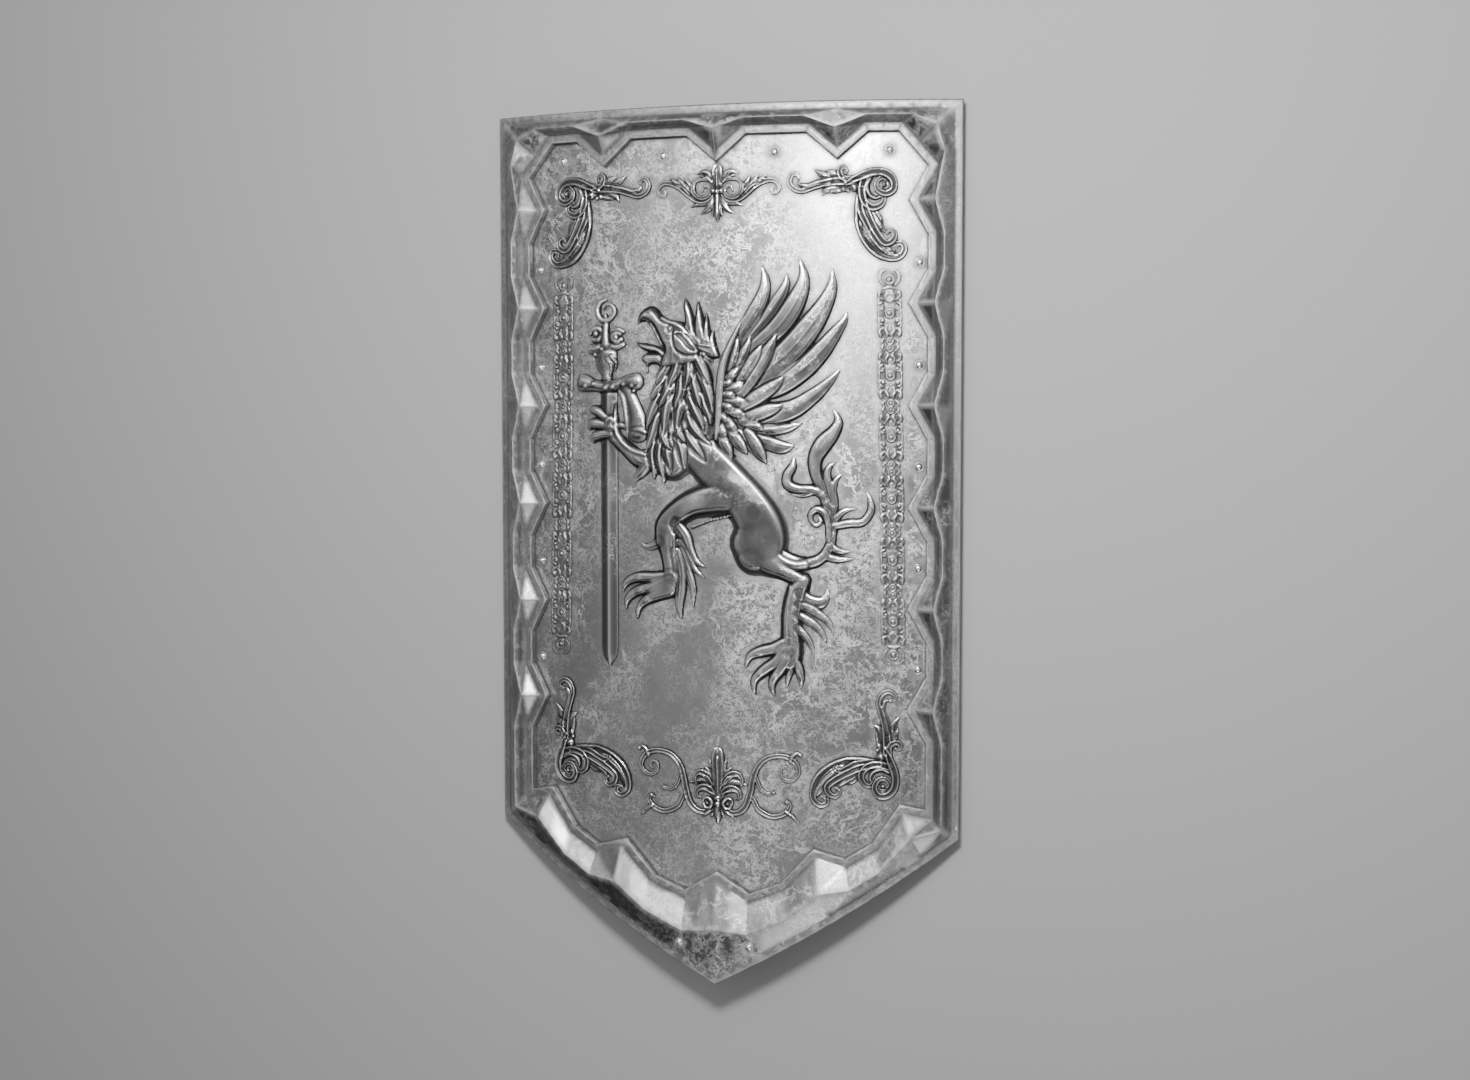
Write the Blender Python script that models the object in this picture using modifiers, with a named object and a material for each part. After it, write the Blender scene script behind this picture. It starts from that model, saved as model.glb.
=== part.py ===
"""A curved steel tower shield with a notched border frame, cast ornaments and a rampant griffin.

The shield lies face up on its two long edges. Every ornament is drawn flat, as it would be on
the unrolled sheet: u runs across, v runs down from the top edge, and h stands out from the front
of the outer rim. The function bend() rolls the drawing onto the curved face. Metres throughout;
the drawings of the castings are in millimetres and pass through MM.
"""
import bpy
import bmesh
from math import atan2, ceil, cos, pi, radians, sin
from mathutils import Vector

MM = 0.001

# Outline of the whole shield, measured round the face
HEIGHT = 1.200
GIRTH = 0.6705
POINT_DEPTH = 0.2112
FACE_RADIUS = 1.1306
LOWER_EDGE_BOW = 0.008

# Sheet and clearances
PLATE_THICKNESS = 0.002
FRAME_THICKNESS = 0.002
GAP = 0.0003
MERGE = 0.00005
PIECE_GAP = 0.0004

# Levels, from the front of the outer rim
FIELD_DEPTH = 0.020
LIP_DEPTH = 0.0084
RIDGE_RISE = 0.0074

# Border frame
RIM_WIDTH = 0.0118
EDGE_CHAMFER = 0.0018
LIP_WIDTH = 0.0105
LIP_PINCH = 0.010
BACK_FOLD = 0.013
FOOT_WIDTH = 0.006
BORDER_WIDTH = 0.0454
TOP_BORDER = 0.0396
TOP_RIDGE_INSET = 0.0203
SIDE_RIDGE_INSET = 0.0258

# Notches of the inner outline
CENTRE_NOTCH_DEPTH = 0.0352
CENTRE_NOTCH_HALF = 0.0421
TOP_FLAT = 0.0830
TOP_NOTCH_DEPTH = 0.0356
CORNER_FLAT = 0.0404
CORNER_CUT_ACROSS = 0.0405
CORNER_CUT_DOWN = 0.0456
SIDE_NOTCHES = 6
SIDE_NOTCH_DEPTH = 0.0260
SIDE_NOTCH_RIDGE_DEPTH = 0.0122
SIDE_NOTCH_HALF = 0.0455
LAST_FLAT = 0.0902
BOTTOM_CORNER_RISE = 0.0392

# The raised ridge follows the notches more gently than the lip
CENTRE_RIDGE_SHARE = 0.36
TOP_RIDGE_SHARE = 0.45
RIDGE_LEAN = 0.002
RIDGE_CORNER_START = 0.067
RIDGE_CORNER_ACROSS = 0.0364
RIDGE_CORNER_DROP = 0.0136
RIDGE_CORNER_END = 0.047
BOTTOM_RIDGE_RISE = 0.0148
CORNER_SPREAD = 0.020
MITRE_LIMIT = 0.35
RIDGE_WALL = 1.3
FOLD_MITRE = 0.41

# The border over the two lower edges: share of the edge from side corner to point, and inset
LOWER_LIP = ((0.110, 0.0851), (0.262, 0.0626), (0.370, 0.0647),
             (0.448, 0.0986), (0.610, 0.0819), (0.728, 0.0895))
LOWER_RIDGE = ((0.135, 0.0418), (0.292, 0.0276), (0.411, 0.0285),
               (0.510, 0.0448), (0.650, 0.0381), (0.801, 0.0441))
POINT_LIP_RISE = 0.1561
POINT_RIDGE_RISE = 0.0794

# Rivets
RIVET_RADIUS = 0.0064
RIVET_DOME = 0.0038
RIVET_SHANK = 0.0030
RIVET_TAIL = 0.0048
RIVET_TAIL_HEIGHT = 0.0012
RIVET_SIDES = 8
RIVET_SHOULDER = 0.7
RIVET_INSET = 0.0560
SEAT_SAMPLES = 24
SIDE_RIVETS = 5
FIRST_SIDE_RIVET = 0.2130
CORNER_RIVET_INSET = 0.0973
CENTRE_RIVET_SPACING = 0.1604
TOP_RIVET_DROP = 0.0642
POINT_RIVET_SPACING = 0.1000
POINT_RIVET_RISE = 0.0570

# Hand grip
GRIP_SPAN = 0.140
GRIP_BAR = 0.013
GRIP_CLEARANCE = 0.034
GRIP_FROM_TOP = 0.560
GRIP_PAD = (0.036, 0.026, 0.003)
GRIP_END_SWEEP = 0.55
GRIP_STEPS = 6
GRIP_SIDES = 8

# Longest step along the curve that one flat facet spans
LONGEST_STEP = 0.045
PLATE_STRIPS = 20

# Turn between faces, in degrees, from which an edge is shaded as a corner
CREASE = 14

HALF = GIRTH / 2
SIDE_LENGTH = HEIGHT - POINT_DEPTH
FIELD_HALF = HALF - BORDER_WIDTH
PLATE_BACK = FIELD_DEPTH + PLATE_THICKNESS
SKIRT = PLATE_BACK + GAP + FRAME_THICKNESS
CROWN = FACE_RADIUS - (FACE_RADIUS - SKIRT) * cos(HALF / FACE_RADIUS)


def bend(u, v, h):
    """A place of the flat drawing, carried onto the curved face of the lying shield."""
    turn = u / FACE_RADIUS
    reach = FACE_RADIUS + h
    return Vector((reach * sin(turn), v + HEIGHT / 2, reach * cos(turn) - FACE_RADIUS + CROWN))


def clear_scene():
    for item in list(bpy.data.objects):
        bpy.data.objects.remove(item, do_unlink=True)


def new_collection(name):
    group = bpy.data.collections.new(name)
    bpy.context.scene.collection.children.link(group)
    return group


def steel(name, colour, roughness, metallic=1.0):
    finish = bpy.data.materials.new(name)
    finish.use_nodes = True
    shader = finish.node_tree.nodes["Principled BSDF"]
    shader.inputs["Base Color"].default_value = (*colour, 1.0)
    shader.inputs["Roughness"].default_value = roughness
    shader.inputs["Metallic"].default_value = metallic
    return finish


def add_object(name, mesh, group, material=None):
    item = bpy.data.objects.new(name, mesh)
    group.objects.link(item)
    if material:
        mesh.materials.append(material)
    return item


def mesh_from(name, points, faces):
    mesh = bpy.data.meshes.new(name)
    mesh.from_pydata([tuple(p) for p in points], [], faces)
    mesh.validate()
    return mesh


def weld_and_face_out(mesh):
    body = bmesh.new()
    body.from_mesh(mesh)
    bmesh.ops.remove_doubles(body, verts=body.verts, dist=MERGE)
    bmesh.ops.recalc_face_normals(body, faces=body.faces)
    body.to_mesh(mesh)
    body.free()


def boolean(item, cutter, operation, solver="EXACT"):
    step = item.modifiers.new(operation.title(), "BOOLEAN")
    step.operation = operation
    step.solver = solver
    step.object = cutter


def move_to_cutters(item, group):
    """Keep a cutting or joining shape out of sight in its own collection."""
    for owner in list(item.users_collection):
        owner.objects.unlink(item)
    group.objects.link(item)
    item.hide_render = True
    item.display_type = "WIRE"


def round_off(item):
    """Shade the gently turning faces as one surface and keep the true corners."""
    item.data.shade_smooth()
    item.data.set_sharp_from_angle(angle=radians(CREASE))


# The outer edge and the frame's lines

def lower_edge(share, inset=0.0):
    """A point by the right lower edge: share from side corner to tip, inset square to the edge."""
    corner = Vector((HALF, -SIDE_LENGTH))
    along = Vector((0.0, -HEIGHT)) - corner
    inward = Vector((along.y, -along.x)).normalized()
    swell = 4 * LOWER_EDGE_BOW * share * (1 - share)
    return corner + along * share + inward * (inset - swell)


def side_notch_pitch():
    run = SIDE_LENGTH - TOP_BORDER - CORNER_CUT_DOWN - BOTTOM_CORNER_RISE - LAST_FLAT
    return (run - 2 * SIDE_NOTCH_HALF) / (SIDE_NOTCHES - 1)


def lip_and_ridge():
    """Stations of the right half, top centre to point: outer edge, ridge and lip places."""
    rows = []

    def station(outer, ridge, lip):
        rows.append((Vector(outer), Vector(ridge), Vector(lip)))

    notch_top = -TOP_BORDER - CENTRE_NOTCH_DEPTH
    ridge_notch = -TOP_RIDGE_INSET - CENTRE_NOTCH_DEPTH * CENTRE_RIDGE_SHARE
    station((0, 0), (0, ridge_notch), (0, notch_top))
    part = LIP_PINCH / CENTRE_NOTCH_HALF
    station((LIP_PINCH, 0), (LIP_PINCH, ridge_notch + (-TOP_RIDGE_INSET - ridge_notch) * part),
            (LIP_PINCH, notch_top + CENTRE_NOTCH_DEPTH * part))
    flat_end = CENTRE_NOTCH_HALF + TOP_FLAT
    corner_start = FIELD_HALF - CORNER_CUT_ACROSS - CORNER_FLAT
    notch = (flat_end + corner_start) / 2
    for u, drop, ridge_drop in ((CENTRE_NOTCH_HALF, 0, 0), (flat_end, 0, 0),
                                (notch, TOP_NOTCH_DEPTH, TOP_NOTCH_DEPTH * TOP_RIDGE_SHARE), (corner_start, 0, 0)):
        station((u, 0), (u - RIDGE_LEAN, -TOP_RIDGE_INSET - ridge_drop), (u, -TOP_BORDER - drop))
    corner_end = corner_start + CORNER_FLAT
    ridge_side = HALF - SIDE_RIDGE_INSET
    station((corner_end + CORNER_SPREAD, 0), (HALF - RIDGE_CORNER_START, -TOP_RIDGE_INSET),
            (corner_end, -TOP_BORDER))
    middle = Vector((corner_end + CORNER_CUT_ACROSS / 2, -TOP_BORDER - CORNER_CUT_DOWN / 2))
    station((HALF, 0), (HALF - RIDGE_CORNER_ACROSS, -TOP_RIDGE_INSET - RIDGE_CORNER_DROP), middle)
    straight = -TOP_RIDGE_INSET - RIDGE_CORNER_END
    station((HALF, straight), (ridge_side, straight), (FIELD_HALF, -TOP_BORDER - CORNER_CUT_DOWN))
    first = -TOP_BORDER - CORNER_CUT_DOWN - SIDE_NOTCH_HALF
    for number in range(SIDE_NOTCHES):
        v = first - side_notch_pitch() * number
        if number:
            top = v + SIDE_NOTCH_HALF
            station((HALF, top), (ridge_side, top), (FIELD_HALF, top))
        station((HALF, v), (ridge_side - SIDE_NOTCH_RIDGE_DEPTH, v), (FIELD_HALF - SIDE_NOTCH_DEPTH, v))
        foot = v - SIDE_NOTCH_HALF
        station((HALF, foot), (ridge_side, foot), (FIELD_HALF, foot))
    station((HALF, -SIDE_LENGTH), (ridge_side, -SIDE_LENGTH + BOTTOM_RIDGE_RISE),
            (FIELD_HALF, -SIDE_LENGTH + BOTTOM_CORNER_RISE))
    for lip, ridge in zip(LOWER_LIP, LOWER_RIDGE):
        station(lower_edge(ridge[0]), lower_edge(*ridge), lower_edge(*lip))
    station((0, -HEIGHT), (0, -HEIGHT + POINT_RIDGE_RISE), (0, -HEIGHT + POINT_LIP_RISE))
    return rows


def split_long_steps(rows):
    """Extra stations where a facet would cut too deep under the curve."""
    out = [rows[0]]
    for before, after in zip(rows, rows[1:]):
        parts = max(1, ceil(abs(after[0].x - before[0].x) / LONGEST_STEP))
        for part in range(1, parts + 1):
            out.append(tuple(a.lerp(b, part / parts) for a, b in zip(before, after)))
    return out


def offset_line(line, distance):
    """The line moved to its left by a distance, mitred; both ends lie on the mirror plane."""
    moved = []
    for index, here in enumerate(line):
        before = line[index - 1] if index else Vector((-line[1].x, line[1].y))
        after = line[index + 1] if index < len(line) - 1 else Vector((-line[-2].x, line[-2].y))
        first, second = (here - before).normalized(), (after - here).normalized()
        left = Vector((-first.y - second.y, first.x + second.x)).normalized()
        shrink = max(MITRE_LIMIT, left.dot(Vector((-first.y, first.x))))
        moved.append(here + left * distance / shrink)
        if index in (0, len(line) - 1):
            moved[-1].x = 0.0
    return moved


def frame_mesh():
    rows = split_long_steps(lip_and_ridge())
    outer, ridge, lip = ([row[k] for row in rows] for k in range(3))
    lip_back = offset_line(lip, LIP_WIDTH)
    lip_back[0] = lip[0].copy()
    inner_lip = offset_line(lip, FRAME_THICKNESS)
    inner_back = offset_line(lip, LIP_WIDTH + FRAME_THICKNESS * FOLD_MITRE)
    inner_back[0] = inner_lip[0].copy()
    foot_turn = (HALF - FOOT_WIDTH) / FACE_RADIUS
    foot_reach = (FACE_RADIUS - SKIRT) * cos(HALF / FACE_RADIUS) / cos(foot_turn)
    foot_level = foot_reach - FACE_RADIUS
    wall = FRAME_THICKNESS
    fold_front = -PLATE_BACK - GAP
    wall_foot = -FIELD_DEPTH + GAP
    rails = (
        (outer, -SKIRT), (outer, -EDGE_CHAMFER), (offset_line(outer, -EDGE_CHAMFER), 0.0),
        (offset_line(outer, -RIM_WIDTH), 0.0), (ridge, RIDGE_RISE), (lip_back, -LIP_DEPTH),
        (lip, -LIP_DEPTH), (lip, wall_foot), (inner_lip, wall_foot),
        (inner_lip, -LIP_DEPTH - wall), (inner_back, -LIP_DEPTH - wall),
        (ridge, RIDGE_RISE - wall * RIDGE_WALL),
        (offset_line(outer, -RIM_WIDTH), -wall), (offset_line(outer, -wall), -wall),
        (offset_line(outer, -wall), fold_front), (offset_line(outer, -BACK_FOLD), fold_front),
        (offset_line(outer, -BACK_FOLD), -SKIRT),
        (offset_line(outer, -FOOT_WIDTH), foot_level))
    points = [bend(place.x, place.y, level) for line, level in rails for place in line]
    count, sides = len(rows), len(rails)
    faces = []
    for rail in range(sides):
        following = (rail + 1) % sides
        for index in range(count - 1):
            faces.append((rail * count + index, rail * count + index + 1,
                          following * count + index + 1, following * count + index))
    return mesh_from("border_frame", points, faces)


def border_frame(group, material):
    """The pressed frame, its right half mirrored."""
    mesh = frame_mesh()
    weld_and_face_out(mesh)
    frame = add_object("border_frame", mesh, group, material)
    mirror = frame.modifiers.new("Mirror", "MIRROR")
    mirror.use_axis[0] = True
    mirror.merge_threshold = MERGE
    return frame


# The curved plate

def shield_plate(group, material):
    """The sheet behind everything, inside the folded edge of the frame."""
    inset = FRAME_THICKNESS + GAP
    half = HALF - inset
    outer = [row[0] for row in split_long_steps(lip_and_ridge())]
    lower = [place for place in offset_line(outer, -inset) if place.y < -SIDE_LENGTH / 2]
    points = []
    for column in range(PLATE_STRIPS + 1):
        u = -half + 2 * half * column / PLATE_STRIPS
        near = max(k for k in range(len(lower) - 1) if lower[k].x >= abs(u) - MERGE)
        a, b = lower[near], lower[near + 1]
        foot = a.y + (b.y - a.y) * (a.x - abs(u)) / (a.x - b.x)
        points += [bend(u, -inset, -FIELD_DEPTH), bend(u, foot, -FIELD_DEPTH)]
    faces = [(2 * k, 2 * k + 1, 2 * k + 3, 2 * k + 2) for k in range(PLATE_STRIPS)]
    plate = add_object("shield_plate", mesh_from("shield_plate", points, faces), group, material)
    shell = plate.modifiers.new("Solidify", "SOLIDIFY")
    shell.thickness = PLATE_THICKNESS
    shell.offset = -1.0
    return plate


# Rivets

def rivet_places():
    """Name, u and v of every rivet, and whether it stands on the border."""
    places = []
    for side, name in ((-1, "left"), (1, "right")):
        places.append((f"rivet_top_{name}_1", side * CENTRE_RIVET_SPACING / 2, -TOP_RIVET_DROP, False))
        places.append((f"rivet_top_{name}_2", side * (HALF - CORNER_RIVET_INSET), -TOP_RIVET_DROP, False))
        for number in range(SIDE_RIVETS):
            v = -FIRST_SIDE_RIVET - side_notch_pitch() * number
            places.append((f"rivet_side_{name}_{number + 1}", side * (HALF - RIVET_INSET), v, False))
        places.append((f"rivet_point_{name}", side * POINT_RIVET_SPACING / 2, -HEIGHT + POINT_RIVET_RISE,
            True))
    return places


def rivet_seat(frame, u, v, on_border):
    """Where a rivet's head beds, how it is turned, and how deep its shank goes."""
    if not on_border:
        return bend(u, v, -FIELD_DEPTH), (0, u / FACE_RADIUS, 0), PLATE_THICKNESS
    above = bend(u, v, RIDGE_RISE * 2)
    _, place, normal, _ = frame.ray_cast(above, bend(u, v, 0) - above)
    turn = normal.to_track_quat("Z", "Y")
    highest = 0.0
    for step in range(SEAT_SAMPLES):
        angle = 2 * pi * step / SEAT_SAMPLES
        for reach in (RIVET_RADIUS, RIVET_RADIUS * RIVET_SHOULDER, RIVET_SHANK):
            rim = turn @ Vector((reach * cos(angle), reach * sin(angle), RIDGE_RISE))
            _, found, _, _ = frame.ray_cast(place + rim, -normal)
            highest = max(highest, (found - place).dot(normal))
    level = RIDGE_RISE * 2 - (above - place).length
    tilt = (above - bend(u, v, 0)).angle(normal)
    depth = (level + PLATE_BACK) / cos(tilt) + RIVET_TAIL * sin(tilt) + highest
    return place + normal * highest, turn.to_euler(), depth


def rivet(name, seat, group, material):
    """A domed head, a shank through the sheet and a hammered tail behind it."""
    place, turn, depth = seat
    profile = [(0, RIVET_DOME), (RIVET_RADIUS * RIVET_SHOULDER, RIVET_DOME * RIVET_SHOULDER),
        (RIVET_RADIUS, GAP),
               (RIVET_SHANK, GAP), (RIVET_SHANK, -depth - GAP), (RIVET_TAIL, -depth - GAP),
               (0, -depth - GAP - RIVET_TAIL_HEIGHT)]
    mesh = bpy.data.meshes.new(name)
    mesh.from_pydata([(x, 0, z) for x, z in profile], [(k, k + 1) for k in range(len(profile) - 1)], [])
    item = add_object(name, mesh, group, material)
    screw = item.modifiers.new("Screw", "SCREW")
    screw.steps = RIVET_SIDES
    screw.render_steps = RIVET_SIDES
    screw.use_merge_vertices = True
    screw.merge_threshold = MERGE
    item.location = place
    item.rotation_euler = turn
    return item


def hole_cutter(name, seat, group):
    """A cylinder with a clearance round the shank and well past both ends of it."""
    place, turn, depth = seat
    length = (depth + RIVET_TAIL) * 2
    radius = (RIVET_SHANK + GAP) / cos(pi / RIVET_SIDES)
    bpy.ops.mesh.primitive_cylinder_add(vertices=RIVET_SIDES, radius=radius, depth=length)
    cutter = bpy.context.object
    cutter.name = name
    cutter.location = place
    cutter.rotation_euler = turn
    move_to_cutters(cutter, group)
    return cutter


# Castings: strokes with a ridged back, joined while flat and then rolled onto the plate

# Half width of a feather or lock along its length, and how far a scroll thins towards its eye
BLADE_SHAPE = ((0.0, 0.6), (0.4, 1.0), (0.78, 0.72), (1.0, 0.03))
VOLUTE_THINNING = 0.5

# Height of a stroke where it thins to nothing, as a share of its full height, and its flare at the foot
THIN_SHARE = 0.45
FOOT_FLARE = 0.3


def blade(root, tip, bow, width):
    """A feather, lock or leaf from root to tip; bow is how far its middle leans to the left."""
    along = Vector(tip) - Vector(root)
    left = Vector((-along.y, along.x)).normalized()
    return [(*(Vector(root) + along * t + left * bow * 4 * t * (1 - t)), width * w) for t, w in BLADE_SHAPE]


def volute(centre, start, turns, outer, inner, width, clockwise=True, steps=8):
    """A scroll that winds in from its outer radius; start is the angle it begins at, in degrees."""
    count = int(abs(turns) * steps)
    way = -1 if clockwise else 1
    out = []
    for k in range(count + 1):
        share = k / count
        angle = radians(start) + way * 2 * pi * turns * share
        radius = outer + (inner - outer) * share
        out.append((centre[0] + radius * cos(angle), centre[1] + radius * sin(angle),
                    width * (1 - VOLUTE_THINNING * share)))
    return out


# Flat work on the castings, in millimetres and degrees
STROKE_FLOOR = -1.0
FLOOR_REACH = 2000.0
FLOOR_DEPTH = 40.0
FLATTEN = 1.5


def stroke_mesh(line, height):
    """A closed bar along the line: flat below, ridged above, its height following its width."""
    widest = max(w for _, _, w in line)
    points, faces = [], []
    for index, (u, v, w) in enumerate(line):
        a = line[max(index - 1, 0)]
        b = line[min(index + 1, len(line) - 1)]
        heading = atan2(b[1] - a[1], b[0] - a[0])
        across = Vector((-sin(heading), cos(heading)))
        top = height * (THIN_SHARE + (1 - THIN_SHARE) * w / widest)
        for side, level in ((1, STROKE_FLOOR), (0, top), (-1, STROKE_FLOOR)):
            spread = w * side * (1 - FOOT_FLARE * STROKE_FLOOR / (top - STROKE_FLOOR))
            points.append((u + across.x * spread, v + across.y * spread, level))
    for k in range(len(line) - 1):
        base = 3 * k
        for one, two in ((0, 1), (1, 2), (2, 0)):
            faces.append((base + one, base + two, base + 3 + two, base + 3 + one))
    faces.append((0, 2, 1))
    end = 3 * (len(line) - 1)
    faces.append((end, end + 1, end + 2))
    mesh = mesh_from("stroke", points, faces)
    weld_and_face_out(mesh)
    return mesh


def block(low, high):
    """A plain closed box between two corners."""
    bpy.ops.mesh.primitive_cube_add(size=1)
    item = bpy.context.object
    item.scale = [b - a for a, b in zip(low, high)]
    item.location = [(a + b) / 2 for a, b in zip(low, high)]
    return item


def evaluated(item):
    graph = bpy.context.evaluated_depsgraph_get()
    return bpy.data.meshes.new_from_object(item.evaluated_get(graph))


def cast(name, strokes, group, material, keep, extra=()):
    """Join the strokes into one solid with a flat back, then roll it onto the plate's front."""
    pieces = [bpy.data.objects.new("stroke", stroke_mesh(line, height)) for line, height in strokes]
    pieces += [bpy.data.objects.new("stroke", mesh) for mesh in extra]
    scratch = new_collection("scratch")
    for piece in pieces:
        scratch.objects.link(piece)
    floor = block((-FLOOR_REACH, -FLOOR_REACH, -FLOOR_DEPTH), (FLOOR_REACH, FLOOR_REACH, 0.0))
    for piece in pieces[1:]:
        boolean(pieces[0], piece, "UNION", "MANIFOLD")
    boolean(pieces[0], floor, "DIFFERENCE", "MANIFOLD")
    bpy.context.view_layer.update()
    whole = bpy.data.objects.new("whole", evaluated(pieces[0]))
    scratch.objects.link(whole)
    into_triangles(whole.data)
    thin = whole.modifiers.new("Decimate", "DECIMATE")
    thin.ratio = keep
    bpy.context.view_layer.update()
    mesh = evaluated(whole)
    for piece in pieces + [floor, whole]:
        bpy.data.objects.remove(piece, do_unlink=True)
    bpy.data.collections.remove(scratch)
    roll(mesh)
    mesh.name = name
    mesh.materials.clear()
    return add_object(name, mesh, group, material)


def into_triangles(mesh):
    """Merge level faces, cut the rest into triangles and drop the empty pairs that leaves."""
    body = bmesh.new()
    body.from_mesh(mesh)
    bmesh.ops.dissolve_limit(body, angle_limit=radians(FLATTEN), verts=body.verts, edges=body.edges)
    bmesh.ops.triangulate(body, faces=body.faces)
    pairs = True
    while pairs:
        seen, pairs = {}, []
        for face in body.faces:
            corners = frozenset(face.verts)
            if corners in seen:
                pairs += [face, seen.pop(corners)]
            else:
                seen[corners] = face
        bmesh.ops.delete(body, geom=pairs, context="FACES")
    body.to_mesh(mesh)
    body.free()


def roll(mesh):
    """Split the edges that reach far across and carry every corner onto the curved face."""
    body = bmesh.new()
    body.from_mesh(mesh)
    longest = LONGEST_STEP / MM
    while True:
        wide = [edge for edge in body.edges if abs(edge.verts[0].co.x - edge.verts[1].co.x) > longest]
        if not wide:
            break
        bmesh.ops.subdivide_edges(body, edges=wide, cuts=1)
        bmesh.ops.triangulate(body, faces=body.faces)
    for vert in body.verts:
        vert.co = bend(vert.co.x * MM, vert.co.y * MM, vert.co.z * MM - FIELD_DEPTH + PIECE_GAP)
    bmesh.ops.recalc_face_normals(body, faces=body.faces)
    body.to_mesh(mesh)
    body.free()


# The griffin's drawing, the room it leaves above, below and beside it, all in millimetres
DRAWN_TOP = 203.0
DRAWN_HEIGHT = 596.0
DRAWN_HALF = 216.0
FIGURE_DROP = 203.0
FIGURE_FOOT_RISE = 401.0
FIGURE_SIDE_ROOM = 119.25


def fitted(strokes):
    """The drawn figure, stretched to the field between the bands and the crests."""
    wide = (HALF / MM - FIGURE_SIDE_ROOM) / DRAWN_HALF
    tall = (HEIGHT / MM - FIGURE_DROP - FIGURE_FOOT_RISE) / DRAWN_HEIGHT
    return [([(u * wide, (v + DRAWN_TOP) * tall - FIGURE_DROP, w * wide) for u, v, w in line], height)
            for line, height in strokes]


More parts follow.
